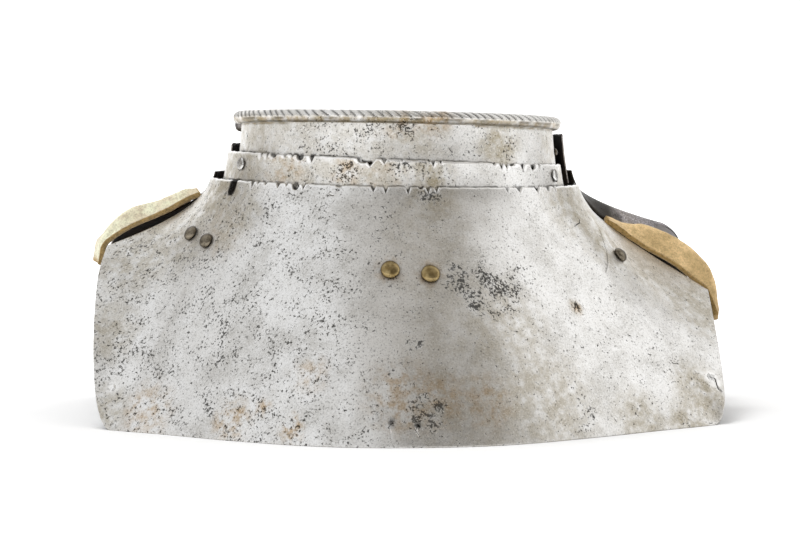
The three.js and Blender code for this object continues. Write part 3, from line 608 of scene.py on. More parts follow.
def pitted_steel(name, bright, dull, colours, roughness):
    """Hammered steel plate, polished long ago: a bright soft gloss broken by tiny dark rust pits."""
    material = new_material(name)
    tree = material.node_tree
    place = node(tree, "ShaderNodeTexCoord").outputs["Object"]

    def lumps(size, detail=3.0, rough=0.55):
        made = node(tree, "ShaderNodeTexNoise", {
            "Vector": place, "Scale": per_metre(size), "Detail": detail, "Roughness": rough,
        })
        return made.outputs["Fac"]

    def mark(kind):
        return node(tree, "ShaderNodeAttribute", attribute_name=kind).outputs["Fac"]

    # Broad cloudy change of tone where the polish has worn
    metal = mixed(tree, ramped(tree, lumps(19, 6, 0.62), 0.4, 0.7), bright, dull)
    # Brown film, thickest on the shoulders and along the edges
    film = maths(tree, "MULTIPLY", mark("patina"), ramped(tree, lumps(6, 8, 0.68), 0.3, 0.62), clamp=True)
    metal = mixed(tree, film, metal, colours.patina)
    # Rust stains in ragged patches
    ragged = ramped(tree, lumps(5, 8, 0.7), 0.4, 0.66)
    stained = maths(tree, "MULTIPLY", mark("stain"), ragged, clamp=True)
    metal = mixed(tree, stained, metal, colours.rust)
    # Fine grain: rubbed bright points between grey ones
    grain = lumps(0.75, 2, 0.5)
    metal = mixed(tree, ramped(tree, grain, 0.5, 0.78, 0, 0.45), metal, linear("#FFFFFF"))
    metal = mixed(tree, ramped(tree, grain, 0.5, 0.24, 0, 0.34), metal, colours.pits)

    # Pinprick rust pits, ragged and close together where the attribute says so
    swarm = ramped(tree, lumps(8, 6, 0.66), 0.36, 0.66, 0.25, 1.6)
    crowd = maths(tree, "MULTIPLY", mark("pits"), swarm)
    level = maths(tree, "SUBTRACT", 0.655, maths(tree, "MULTIPLY", crowd, 0.15))
    over = maths(tree, "SUBTRACT", lumps(1.25, 4, 0.68), level)
    pits = ramped(tree, over, -0.01, 0.045)
    # A few larger pits, each a lopsided cell
    shaken = node(tree, "ShaderNodeTexNoise", {"Vector": place, "Scale": per_metre(1.4), "Detail": 3.0})
    bent = node(tree, "ShaderNodeMix", {"Factor": 0.0022}, data_type="VECTOR", clamp_factor=False)
    tree.links.new(place, bent.inputs[4])
    tree.links.new(shaken.outputs["Color"], bent.inputs[5])
    for spacing, share, reach in PIT_LAYERS:
        cells = node(tree, "ShaderNodeTexVoronoi", {
            "Vector": bent.outputs[1], "Scale": per_metre(spacing), "Randomness": 1.0,
        }, feature="F1")
        lots = node(tree, "ShaderNodeSeparateColor", {"Color": cells.outputs["Color"]})
        dense = maths(tree, "MULTIPLY", maths(tree, "MULTIPLY", crowd, crowd), share)
        chosen = ramped(tree, maths(tree, "SUBTRACT", dense, lots.outputs[0]), 0, 0.05)
        radius = maths(tree, "MULTIPLY", maths(tree, "ADD", lots.outputs[1], 0.5), reach)
        hollow = ramped(tree, maths(tree, "SUBTRACT", radius, cells.outputs["Distance"]), -0.06, 0.08)
        pits = maths(tree, "MAXIMUM", pits, maths(tree, "MULTIPLY", chosen, hollow))
    metal = mixed(tree, maths(tree, "MULTIPLY", pits, 0.86), metal, colours.pits)
    # Painted highlight along the filed edges and on hole rims, with some bare worn metal; near-black painted
    # shade in cuts, under overlaps, in the slot and rim grooves, with dirt and shade round rivets
    metal = mixed(tree, mark("worn"), metal, linear("#FCFBF9"))
    metal = mixed(tree, mark("dirt"), metal, linear("#1E1A15"))

    gloss = maths(tree, "ADD", maths(tree, "MULTIPLY", lumps(3, 4), 0.14), roughness)
    gloss = maths(tree, "ADD", gloss, maths(tree, "MULTIPLY", film, 0.1))
    gloss = maths(tree, "ADD", gloss, maths(tree, "MULTIPLY", pits, 0.3), clamp=True)
    fine = maths(tree, "MULTIPLY", grain, 0.22)
    waves = maths(tree, "MULTIPLY", lumps(6, 3, 0.5), 0.3)
    height = maths(tree, "SUBTRACT", maths(tree, "ADD", fine, waves), maths(tree, "MULTIPLY", pits, 0.5))
    bump = node(tree, "ShaderNodeBump", {"Height": height, "Strength": 0.6, "Distance": 0.25 * MM})
    shader = node(tree, "ShaderNodeBsdfPrincipled", {
        "Base Color": metal, "Roughness": gloss, "Normal": bump.outputs["Normal"], "Metallic": 1.0,
    })
    node(tree, "ShaderNodeOutputMaterial", {"Surface": shader.outputs["BSDF"]})
    return material


def painted_shade_steel(name):
    """The inner face: near-black steel in dark brown clouds, painted shade for the inside in shadow."""
    material = new_material(name)
    tree = material.node_tree
    place = node(tree, "ShaderNodeTexCoord").outputs["Object"]
    lumps = node(tree, "ShaderNodeTexNoise", {"Vector": place, "Scale": per_metre(8), "Detail": 6.0})
    tone = mixed(tree, ramped(tree, lumps.outputs["Fac"], 0.4, 0.7), linear("#14110E"), linear("#2F2419"))
    bare = node(tree, "ShaderNodeAttribute", attribute_name="bare").outputs["Fac"]
    # Where the inside is lit it is painted pale steel instead of the painted shade
    tone = mixed(tree, bare, tone, linear("#BDBABB"))
    bump = node(tree, "ShaderNodeBump", {
        "Height": lumps.outputs["Fac"], "Strength": 0.4, "Distance": 0.4 * MM,
    })
    shader = node(tree, "ShaderNodeBsdfPrincipled", {
        "Base Color": tone, "Roughness": 0.62, "Normal": bump.outputs["Normal"], "Metallic": 0.6,
    })
    node(tree, "ShaderNodeOutputMaterial", {"Surface": shader.outputs["BSDF"]})
    return material


def rivet_metal(name, bright, dark, roughness):
    """Old hand-made rivet: dull rounded metal with dark specks in its dents."""
    material = new_material(name)
    tree = material.node_tree
    place = node(tree, "ShaderNodeTexCoord").outputs["Object"]
    cloudy = node(tree, "ShaderNodeTexNoise", {"Vector": place, "Scale": per_metre(2.2), "Detail": 5.0})
    specks = node(tree, "ShaderNodeTexNoise", {"Vector": place, "Scale": per_metre(0.9), "Detail": 3.0})
    tone = mixed(tree, ramped(tree, cloudy.outputs["Fac"], 0.35, 0.7), bright, dark)
    speck = ramped(tree, specks.outputs["Fac"], 0.6, 0.72)
    tone = mixed(tree, maths(tree, "MULTIPLY", speck, 0.7), tone, linear("#3A332A"))
    # The head is painted darker towards its sides as seen, painted shade on the rounded dome
    side = node(tree, "ShaderNodeLayerWeight", {"Blend": 0.5}).outputs["Facing"]
    tone = mixed(tree, ramped(tree, side, 0.3, 0.85, 0, 0.85), tone, linear("#2E2820"))
    bump = node(tree, "ShaderNodeBump", {
        "Height": cloudy.outputs["Fac"], "Strength": 0.4, "Distance": 0.25 * MM,
    })
    gloss = maths(tree, "ADD", roughness, maths(tree, "MULTIPLY", speck, 0.25))
    shader = node(tree, "ShaderNodeBsdfPrincipled", {
        "Base Color": tone, "Roughness": gloss, "Normal": bump.outputs["Normal"], "Metallic": 1.0,
    })
    node(tree, "ShaderNodeOutputMaterial", {"Surface": shader.outputs["BSDF"]})
    return material


def buff_leather(name, nap, cut_edge):
    """Oil-tanned buff leather: a matt fibrous nap, with a coarser, browner cut edge."""
    material = new_material(name)
    tree = material.node_tree
    place = node(tree, "ShaderNodeTexCoord").outputs["Object"]

    def lumps(size, detail=4.0, rough=0.6):
        return node(tree, "ShaderNodeTexNoise", {
            "Vector": place, "Scale": per_metre(size), "Detail": detail, "Roughness": rough,
        }).outputs["Fac"]

    edge = node(tree, "ShaderNodeAttribute", attribute_name="edge").outputs["Fac"]
    blotches = ramped(tree, lumps(9, 6), 0.35, 0.68)
    paler = tuple(min(1, c * 1.35 + 0.05) for c in nap)
    tone = mixed(tree, blotches, paler, nap)
    tone = mixed(tree, edge, tone, cut_edge)
    fibres = lumps(0.9, 4, 0.75)
    hairy = maths(tree, "ADD", 0.45, maths(tree, "MULTIPLY", edge, 0.45))
    tufts = maths(tree, "MULTIPLY", lumps(3.4, 5, 0.7), 0.4)
    streaks = maths(tree, "ADD", maths(tree, "MULTIPLY", fibres, 0.6), tufts)
    shade = maths(tree, "MULTIPLY", ramped(tree, streaks, 0.58, 0.38), hairy)
    darker = tuple(c * 0.45 for c in cut_edge)
    tone = mixed(tree, shade, tone, darker)
    height = maths(tree, "ADD", maths(tree, "MULTIPLY", fibres, 0.6), lumps(3.2, 3))
    bump = node(tree, "ShaderNodeBump", {"Height": height, "Strength": 0.9, "Distance": 0.6 * MM})
    shader = node(tree, "ShaderNodeBsdfPrincipled", {
        "Base Color": tone, "Roughness": 0.92, "Normal": bump.outputs["Normal"], "Metallic": 0.0,
        "Sheen Weight": 0.25, "Sheen Roughness": 0.5, "Specular IOR Level": 0.25,
    })
    node(tree, "ShaderNodeOutputMaterial", {"Surface": shader.outputs["BSDF"]})
    return material


# Meshes


def grid_faces(columns, rows):
    """Faces of a closed sheet whose outer points come before its inner ones."""
    index = np.arange(columns * rows).reshape(columns, rows)
    count = columns * rows
    quad = np.stack([index[:-1, :-1], index[:-1, 1:], index[1:, 1:], index[1:, :-1]], -1).reshape(-1, 4)

    def wall(p, q):
        return np.stack([q, p, p + count, q + count], -1)

    walls = [
        wall(index[1:, 0], index[:-1, 0]),
        wall(index[:-1, -1], index[1:, -1]),
        wall(index[0, :-1], index[0, 1:]),
        wall(index[-1, 1:], index[-1, :-1]),
    ]
    return np.concatenate([quad, quad[:, ::-1] + count, *walls])


def close_rows(count, edge_steps):
    """Even shares from 0 to 1 with extra ones close to both ends."""
    inner = np.linspace(0, 1, count)[1:-1]
    return np.concatenate([[0], edge_steps, inner, 1 - np.array(edge_steps)[::-1], [1]])


def sheet_body(surface, u, v, thickness, lift=0.0, swell=None, soft=0.3, bevel=0.0, step_u=0.05):
    """Points and faces of a closed sheet under an outer face, its rim softened as if filed.

    The bevel is filed on the outer face along the upper edge.
    """
    points = surface(u, v)
    normal = outward(surface, u, v, step_u)
    if swell is not None:
        points = points + normal * swell(points)[..., None]
    rim = np.zeros(u.shape)
    rim[0, :] = rim[-1, :] = rim[:, 0] = rim[:, -1] = abs(thickness) * soft
    rim = np.copysign(rim, thickness)[..., None]
    filed = rim.copy()
    filed[:, 0] = np.maximum(filed[:, 0], bevel)
    upper = points + normal * (lift - filed)
    lower = points + normal * (lift - thickness + rim)
    both = np.concatenate([upper.reshape(-1, 3), lower.reshape(-1, 3)])
    both[:, 2] = np.maximum(both[:, 2], 0)
    return both, grid_faces(*u.shape)


def add_piece(name, points, faces, material, inside=None):
    """A mesh object from points in mm.

    Faces whose points all lie in the second half of the points take the inside material.
    """
    mesh = bpy.data.meshes.new(name)
    placed = (np.asarray(points) + SHIFT) * MM
    mesh.from_pydata(placed.tolist(), [], [list(map(int, face)) for face in faces])
    mesh.polygons.foreach_set("use_smooth", [True] * len(mesh.polygons))
    mesh.materials.append(material)
    if inside is not None:
        mesh.materials.append(inside)
        half = len(points) // 2
        mesh.polygons.foreach_set("material_index", [int(min(face) >= half) for face in faces])
    piece = bpy.data.objects.new(name, mesh)
    bpy.context.scene.collection.objects.link(piece)
    return piece


def combine(piece, others, operation):
    """Join other pieces to one, or cut them from it, and leave its mesh changed."""
    for other in others:
        modifier = piece.modifiers.new(other.name, "BOOLEAN")
        modifier.operation = operation
        modifier.solver = "MANIFOLD"
        modifier.object = other
    graph = bpy.context.evaluated_depsgraph_get()
    result = bpy.data.meshes.new_from_object(piece.evaluated_get(graph), depsgraph=graph)
    if len(result.polygons) < 10:
        raise RuntimeError(piece.name + " was lost in a cut")
    piece.modifiers.clear()
    old = piece.data
    name = old.name
    piece.data = result
    bpy.data.meshes.remove(old)
    result.name = name
    for other in others:
        used = other.data
        bpy.data.objects.remove(other)
        bpy.data.meshes.remove(used)


def add_cutter(points, faces, material):
    """A cutter whose walls leave the near-black inside steel, painted shade, in what it cuts."""
    cutter = add_piece("cutter", points, faces, material)
    cutter.data.materials.append(inside_steel())
    cutter.data.polygons.foreach_set("material_index", [1] * len(cutter.data.polygons))
    return cutter


def drill(surface, turn, down, radius, material, sides=28, ragged=0.06):
    """A slightly ragged round cutter through a plate."""
    centre = surface(turn, down)
    normal = outward(surface, turn, down)
    side = np.cross(normal, (0, 0, 1.0))
    side /= np.linalg.norm(side)
    up = np.cross(side, normal)
    angles = np.linspace(0, 2 * np.pi, sides, endpoint=False)
    reach = radius * (1 + ragged * np.sin(3 * angles + turn) + ragged * 0.6 * np.sin(5 * angles))
    ring = np.outer(reach * np.cos(angles), side) + np.outer(reach * np.sin(angles), up)
    length = 9.5
    points = np.concatenate([centre + ring - normal * length, centre + ring + normal * length])
    index = np.arange(sides)
    after = (index + 1) % sides
    faces = [list(row) for row in np.stack([index, after, after + sides, index + sides], -1)]
    faces += [list(index[::-1]), list(index + sides)]
    return add_cutter(points, faces, material)


EFFECTS = ("pits", "patina", "stain", "worn", "dirt", "bare")


def paint(piece, marks, surface, ground=None):
    """Write how pitted, brown and stained each point is, and where dirt, painted shade and painted
    highlights lie, from marks on a surface.
    """
    mesh = piece.data
    count = len(mesh.vertices)
    places = np.empty(count * 3)
    mesh.vertices.foreach_get("co", places)
    places = places.reshape(-1, 3) / MM - SHIFT
    for name in EFFECTS:
        values = np.zeros(count)
        for spot in marks:
            if name not in spot:
                continue
            centre = surface(spot["turn"], spot["down"])
            share = np.clip(1.25 - np.linalg.norm(places - centre, axis=1) / spot["size"], 0, 1)
            values = np.maximum(values, spot[name] * share * share * (3 - 2 * share))
        if ground is not None:
            values = np.maximum(values, ground(name, places))
        layer = mesh.attributes.get(name) or mesh.attributes.new(name, "FLOAT", "POINT")
        layer.data.foreach_set("value", values)


def cut_depth(cuts, turn, mm_per_degree):
    """How deep the filed cuts are at each turn, in mm."""
    depth = np.zeros(np.shape(turn))
    for cut in cuts:
        reach = np.abs(turn - cut["at"]) * mm_per_degree / (cut["wide"] / 2)
        if cut.get("scoop"):
            shape = np.sqrt(np.clip(1 - reach**2, 0, 1))
        else:
            shape = np.clip(1 - reach, 0, 1)
        depth = np.maximum(depth, cut["deep"] * shape)
    return depth


def turns_with_cuts(span, count, cuts, mm_per_degree):
    """Even turns, with more of them at each cut so that it keeps its corners."""
    turns = list(np.linspace(*span, count))
    for cut in cuts:
        half = cut["wide"] / 2 / mm_per_degree
        for share in (-1, -0.96, -0.5, 0, 0.5, 0.96, 1):
            turns.append(cut["at"] + half * share)
    turns = np.array(sorted(turns))
    keep = np.concatenate([[True], np.diff(turns) > 0.02])
    return turns[keep]


def finish_piece(piece, body, slot, *nodes):
    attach(piece, body)
    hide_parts(*nodes)


def hammered(height, seed):
    """The unevenness of hand-hammered plate: broad waves and smaller dents."""
    def swell(points):
        broad = ripple(points, 46, seed)
        small = ripple(points, 15, seed + 7)
        return height * (1.3 * broad + 0.55 * small)
    return swell


def settings(context):
    return context.scene.gorget_sizes, context.scene.gorget_colours


def front_steel(context):
    _, colours = settings(context)
    return bpy.data.materials.get("polished_pitted_steel") or pitted_steel(
        "polished_pitted_steel", colours.steel, colours.dull, colours, 0.27)


def back_steel(context):
    _, colours = settings(context)
    return bpy.data.materials.get("dull_grey_steel") or pitted_steel(
        "dull_grey_steel", colours.inner, linear("#6F6A68"), colours, 0.36)


def inside_steel():
    return bpy.data.materials.get("painted_shade_inside") or painted_shade_steel("painted_shade_inside")


def turn_of(places, middle, half, front):
    """The turn of points on an ellipse round the neck."""
    return np.degrees(np.arctan2((places[:, 0] - middle) / half, -places[:, 1] / front))


def painted_overlap_shadow(places, edge_height, cut):
    """Painted shadow along the line where a lower plate's edge covers a lame, filling the filed cuts."""
    above = places[:, 2] - edge_height
    uneven = ripple(places, 5.0, 3.3)
    reach = 0.3 + 0.25 * uneven + 0.3 * cut
    line = np.clip(1.15 - np.maximum(above - 0.05, 0) / np.maximum(reach, 0.12), 0, 1)
    return line * (above > -1.2) * np.clip(0.5 + 0.6 * uneven + 0.3 * cut, 0, 1)


def painted_edge_highlight(places, turn, edge_height):
    """Painted highlight along a filed upper edge and down the sides of its cuts, where the bevel catches the
    light, with some bare worn metal.
    """
    best = np.zeros(len(places))
    for step in (-0.5, -0.25, 0, 0.25, 0.5):
        below = edge_height(turn + step) - places[:, 2]
        best = np.maximum(best, 1 - smooth(below, 0.45 - 0.3 * abs(step), 1.35 - abs(step)))
    return best * (0.8 + 0.35 * ripple(places, 4.0, 6.1))


def plate_edge_height(turn):
    """Height of the front plate's filed upper edge."""
    cut = cut_depth(PLATE_CUTS, turn, PLATE_MM_PER_DEGREE) + filed_waver(turn)
    return front_plate(turn, np.zeros(np.shape(turn)))[..., 2] - cut


def lame_edge_height(turn):
    """Height of the front middle lame's filed upper edge."""
    cut = cut_depth(MIDDLE_CUTS, turn, LAME_MM_PER_DEGREE) + filed_waver(turn + 40)
    return lame_surface(FRONT_MIDDLE)(turn, np.zeros(np.shape(turn)))[..., 2] - cut


# Operators


class GORGET_OT_front_plate(Operator):
    """Build the large front plate with its filed edge, holes and hammered face"""

    bl_idname = "gorget.front_plate"
    bl_label = "Front plate"

    def execute(self, context):
        sizes, _ = settings(context)
        steel = front_steel(context)
        turns = turns_with_cuts(FRONT_SPAN, sizes.columns, PLATE_CUTS, PLATE_MM_PER_DEGREE)
        shares = np.concatenate([[0, 0.017, 0.024], np.linspace(0.034, 0.988, 76), [0.994, 0.9975, 1]])
        top = (cut_depth(PLATE_CUTS, turns, PLATE_MM_PER_DEGREE) + filed_waver(turns)) / PLATE_MM_PER_DOWN
        u = np.repeat(turns[:, None], len(shares), 1)
        v = shares[None, :] + top[:, None] * (1 - shares[None, :]) ** 5
        points, faces = sheet_body(front_plate, u, v, sizes.plate, swell=hammered(sizes.hammering, 3.1),
                                   bevel=0.75)
        plate = add_piece("front_plate_steel", points, faces, steel, inside_steel())
        cutters = [drill(front_plate, hole["turn"], hole["down"], hole["radius"], steel, ragged=0.09)
                   for hole in FRONT_HOLES]
        for share in np.linspace(0, 1, 5):
            down = SLOT["start"] + (SLOT["end"] - SLOT["start"]) * share
            turn = SLOT["turn"] + 0.6 * (0.5 - share)
            cutters.append(drill(front_plate, turn, down, SLOT["radius"], steel, 14))
        for rivet in RIVETS:
            if rivet["surface"] is front_plate:
                radius = rivet["kind"]["shank"] + HOLE_CLEARANCE
                cutters.append(drill(front_plate, rivet["turn"], rivet["down"], radius, steel, 14, 0))
        cutters += [scratch(front_plate, line["way"], line["wide"], line["deep"], steel) for line in CRACKS]
        combine(plate, cutters, "DIFFERENCE")

        def ground(name, places):
            if name == "pits":
                return 0.24 + 0.28 * np.clip((25 - places[:, 0]) / 75, 0, 1)
            # Painted highlight along the filed upper edge
            if name == "worn":
                turn = turn_of(places, FRONT_NECK["middle"], FRONT_NECK["half"], FRONT_NECK["front"])
                return painted_edge_highlight(places, turn, plate_edge_height) * (places[:, 2] > 95)
            # Near-black painted shade in and round the slot
            if name == "dirt":
                return near_slot(places, SLOT["radius"] + 0.35, (1, 1, 1))
            return 0.08 if name == "patina" else 0

        paint(plate, PLATE_MARKS, front_plate, ground)
        finish_piece(plate, "front_half", "steel", "front_plate")
        return {"FINISHED"}


def filed_waver(turns):
    """The slight unevenness of an edge filed by hand, in mm."""
    return 0.16 + 0.1 * np.sin(turns * 0.9) + 0.06 * np.sin(turns * 2.3 + 1)


def scratch(surface, way, wide, deep, material):
    """A thin wedge-shaped cutter along a line of places on a surface."""
    points = []
    for i, place in enumerate(way):
        centre = surface(place[0], place[1])
        normal = outward(surface, place[0], place[1])
        after = way[min(i + 1, len(way) - 1)]
        before = way[max(i - 1, 0)]
        along = surface(after[0], after[1]) - surface(before[0], before[1])
        side = np.cross(normal, along)
        side *= wide / 2 * (0.25 if i in (0, len(way) - 1) else 1) / np.linalg.norm(side)
        points += [centre + side + normal * 0.4, centre - normal * deep, centre - side + normal * 0.4]
    faces = [[0, 1, 2], [len(points) - 1, len(points) - 2, len(points) - 3]]
    for i in range(0, len(points) - 3, 3):
        for j in range(3):
            k = (j + 1) % 3
            faces.append([i + j, i + 3 + j, i + 3 + k, i + k])
    return add_cutter(points, faces, material)


class GORGET_OT_back_plate(Operator):
    """Build the large back plate with its pointed strap and its tongue to the pivot"""

    bl_idname = "gorget.back_plate"
    bl_label = "Back plate"

    def execute(self, context):
        sizes, _ = settings(context)
        steel = back_steel(context)
        turns = np.linspace(*BACK_SPAN, 260)
        shares = close_rows(72, [0.004, 0.01])
        u = np.repeat(turns[:, None], len(shares), 1)
        v = np.repeat(shares[None, :], len(turns), 0)
        points, faces = sheet_body(back_plate, u, v, sizes.plate, swell=hammered(sizes.hammering, 9.4))
        plate = add_piece("back_plate_steel", points, faces, steel, inside_steel())
        turns = np.linspace(TONGUE["start"], TONGUE["end"], 60)
        shares = np.linspace(TONGUE["top"], TONGUE["bottom"], 16)
        u = np.repeat(turns[:, None], len(shares), 1)
        v = np.repeat(shares[None, :], len(turns), 0)
        lift = -sizes.plate - RUNNING_GAP
        points, faces = sheet_body(tongue_point, u, v, sizes.plate, lift)
        tongue = add_piece("tongue", points, faces[:, ::-1], steel)
        combine(plate, [tongue], "UNION")
        pivot_hole = CHEST_RIVET["shank"] + HOLE_CLEARANCE
        combine(plate, [
            drill(front_plate, PIVOT_PLACE["turn"], PIVOT_PLACE["down"], pivot_hole, steel, 14, 0),
            drill(back_plate, STRAP_HOLE["turn"], STRAP_HOLE["down"], STRAP_HOLE["radius"], steel),
        ], "DIFFERENCE")
        facing = np.empty(len(plate.data.vertices) * 3)
        plate.data.vertex_normals.foreach_get("vector", facing)
        inner_face = facing[0::3] + facing[2::3] < 0

        def ground(name, places):
            tip = np.clip((places[:, 0] - 96) / 30, 0, 1) * (places[:, 1] < 45)
            # Inside the shoulder the steel is painted pale above a slanting line, where it is lit, and near
            # black below it as painted shade under the leather
            above = smooth(places[:, 2] + LEATHER_SLOPE * places[:, 0], LEATHER_LINE, LEATHER_LINE + 3)
            if name == "bare":
                return 0.85 * smooth(places[:, 0], 112, 118) * inner_face * above
            # Painted shade: dark near the neck, and on the inner face under the leather
            if name == "dirt":
                painted_neck_shade = (1 - smooth(places[:, 0], 104, 113)) * (1 - smooth(places[:, 1], 24, 34))
                painted_shade_under_leather = (1 - above) * (places[:, 0] > 100) * inner_face
                return 0.92 * np.maximum(painted_neck_shade, painted_shade_under_leather)
            return {"pits": 0.3, "patina": 0.55 * (1 - tip), "stain": 0.2 * (1 - tip)}.get(name, 0)

        paint(plate, [], back_plate, ground)
        finish_piece(plate, "back_half", "inner_steel", "back_plate")
        return {"FINISHED"}


class GORGET_OT_middle_lames(Operator):
    """Build the narrow plates between the large plates and the collars"""

    bl_idname = "gorget.middle_lames"
    bl_label = "Middle lames"

    def execute(self, context):
        sizes, _ = settings(context)
        for name, lame, cuts, material, body, slot in (
            ("front_middle_lame", FRONT_MIDDLE, MIDDLE_CUTS, front_steel(context), "front_half", "steel"),
            ("back_middle_lame", BACK_MIDDLE, [], back_steel(context), "back_half", "inner_steel"),
        ):
            surface = lame_surface(lame)
            turns = turns_with_cuts((lame["start"], lame["end"]), 440, cuts, LAME_MM_PER_DEGREE)
            shares = np.concatenate([[0, 0.034, 0.05], np.linspace(0.08, 0.38, 9), np.linspace(0.4, 1, 30)])
            top = (cut_depth(cuts, turns, LAME_MM_PER_DEGREE) + filed_waver(turns + 40)) / lame["tall"]
            u = np.repeat(turns[:, None], len(shares), 1)
            v = shares[None, :] + top[:, None] * (1 - shares[None, :]) ** 3
            swell = hammered(sizes.hammering * 0.6, 5.7)
            points, faces = sheet_body(surface, u, v, sizes.lame, swell=swell, bevel=0.6)
            piece = add_piece(name + "_steel", points, faces, material, inside_steel())
            cut_rivet_holes(piece, name, material)

            def ground(mark, places, front=body == "front_half"):
                half, depth = FRONT_MIDDLE["lower"], FRONT_MIDDLE["lower_front"]
                turn = turn_of(places, FRONT_MIDDLE["middle"], half, depth)
                # Painted shadow under the plate's edge and in its cuts, and painted shade on the lame behind
                # the slot
                if mark == "dirt" and front:
                    cut = cut_depth(PLATE_CUTS, turn, PLATE_MM_PER_DEGREE)
                    overlap = painted_overlap_shadow(places, plate_edge_height(turn), cut)
                    painted_slot_shade = near_slot(places, SLOT["radius"], (1, 0, 1)) * (places[:, 2] < SLOT_TOP)
                    return np.maximum(overlap, painted_slot_shade)
                # Painted highlight along the lame's filed edge
                if mark == "worn" and front:
                    return painted_edge_highlight(places, turn, lame_edge_height)
                dull = 0.12 + 0.4 * (1 - smooth(turn, 10, 20)) if front else 0.4
                return {"pits": 0.24, "patina": dull}.get(mark, 0)

            paint(piece, MIDDLE_MARKS if body == "front_half" else [], surface, ground)
            finish_piece(piece, body, slot, name)
        return {"FINISHED"}


def near_slot(places, reach, across):
    """How close each place is to the slot, seen along the direction left out of across."""
    nearest = np.full(len(places), 99.0)
    for down in np.linspace(SLOT["start"], SLOT["end"], 9):
        step = (places - front_plate(SLOT["turn"], down)) * across
        nearest = np.minimum(nearest, np.linalg.norm(step, axis=1))
    return 1 - smooth(nearest, reach, reach + 0.25)


def cut_rivet_holes(piece, carried_by, material):
    """Cut the holes that the rivets of one lame pass through."""
    cutters = []
    for rivet in RIVETS:
        if carried_by in rivet["through"]:
            radius = rivet["kind"]["shank"] + HOLE_CLEARANCE
            cutters.append(drill(rivet["surface"], rivet["turn"], rivet["down"], radius, material, 14, 0))
    if cutters:
        combine(piece, cutters, "DIFFERENCE")


def rim_line(lame, turns):
    """Centre of the turned rim, the way out from the neck, and the length run along it."""
    sine, cosine = np.sin(np.radians(turns)), np.cos(np.radians(turns))
    out = np.stack([sine, -cosine, np.zeros(len(turns))], -1)
    centre = lame_surface(lame)(turns, np.zeros(len(turns))) + out * RIM_OUTWARD
    run = np.concatenate([[0], np.cumsum(np.linalg.norm(np.diff(centre, axis=0), axis=1))])
    return centre, out, run


def rope_cuts(run, angle, spacing):
    """How deep the slanting cuts of the rim are, from 0 to 1, at a length along and an angle round it."""
    uneven = 0.16 * np.sin(run / 8.1) + 0.1 * np.sin(run / 3.1 + 2)
    strand = run / spacing + 0.85 * angle + uneven
    main = np.clip(1.25 - np.abs((strand + 0.5) % 1 - 0.5) / 0.12, 0, 1)
    second = np.clip(1 - np.abs((strand + 0.2) % 1 - 0.5) / 0.06, 0, 1)
    second = second * np.maximum(0.35 * np.sin(run / 13), 0)
    shown = smooth(angle, -0.1, 0.1) * (1 - 0.85 * smooth(angle, 0.9, 1.35)) * (1 - smooth(angle, 2.4, 2.9))
    worn = 0.82 + 0.18 * np.sin(run / 17) * np.sin(run / 7.3)
    return np.maximum(main, second) * shown * worn


def rope_rim(lame, sizes, name, material):
    """The turned rim: a roll whose upper outside is cut with slanting lines like a rope."""
    rings = 1080
    around = 32
    turns = np.linspace(lame["start"] + RIM_END_INSET, lame["end"] - RIM_END_INSET, rings)
    centre, out, run = rim_line(lame, turns)
    angle = np.linspace(-np.pi, np.pi, around, endpoint=False)[None, :]
    crease = 0.3 * np.exp(-((angle + 0.3) / 0.16) ** 2)
    radius = sizes.rim - 0.04 - sizes.flute_depth * rope_cuts(run[:, None], angle, sizes.flute) - crease
    up = np.array([0, 0, 1.0])
    points = centre[:, None, :] + radius[..., None] * (
        np.cos(angle)[..., None] * out[:, None, :] + np.sin(angle)[..., None] * up)
    index = np.arange(rings * around).reshape(rings, around)
    after = np.roll(index, -1, axis=1)
    quads = np.stack([index[:-1], index[1:], after[1:], after[:-1]], -1).reshape(-1, 4)
    faces = [list(q) for q in quads] + [list(index[0]), list(index[-1][::-1])]
    return add_piece(name, points.reshape(-1, 3), faces, material)


def rim_places(places, lame):
    """Length run along the rim, angle round it and distance from its centre, for points near it."""
    turns = np.linspace(lame["start"] + RIM_END_INSET, lame["end"] - RIM_END_INSET, 1080)
    centre, out, run = rim_line(lame, turns)
    bearing = np.degrees(np.arctan2(places[:, 0], -places[:, 1]))
    known = np.degrees(np.arctan2(centre[:, 0], -centre[:, 1]))
    if lame["start"] > 90:
        bearing = bearing % 360
        known = known % 360
    middle = np.stack([np.interp(bearing, known, centre[:, i]) for i in range(3)], -1)
    way = np.stack([np.interp(bearing, known, out[:, i]) for i in range(3)], -1)
    step = places - middle
    outwards = (step * way).sum(1)
    along = np.interp(bearing, known, run)
    return along, np.arctan2(step[:, 2], outwards), np.hypot(outwards, step[:, 2])


def smooth(value, low, high):
    t = np.clip((value - low) / (high - low), 0, 1)
    return t * t * (3 - 2 * t)


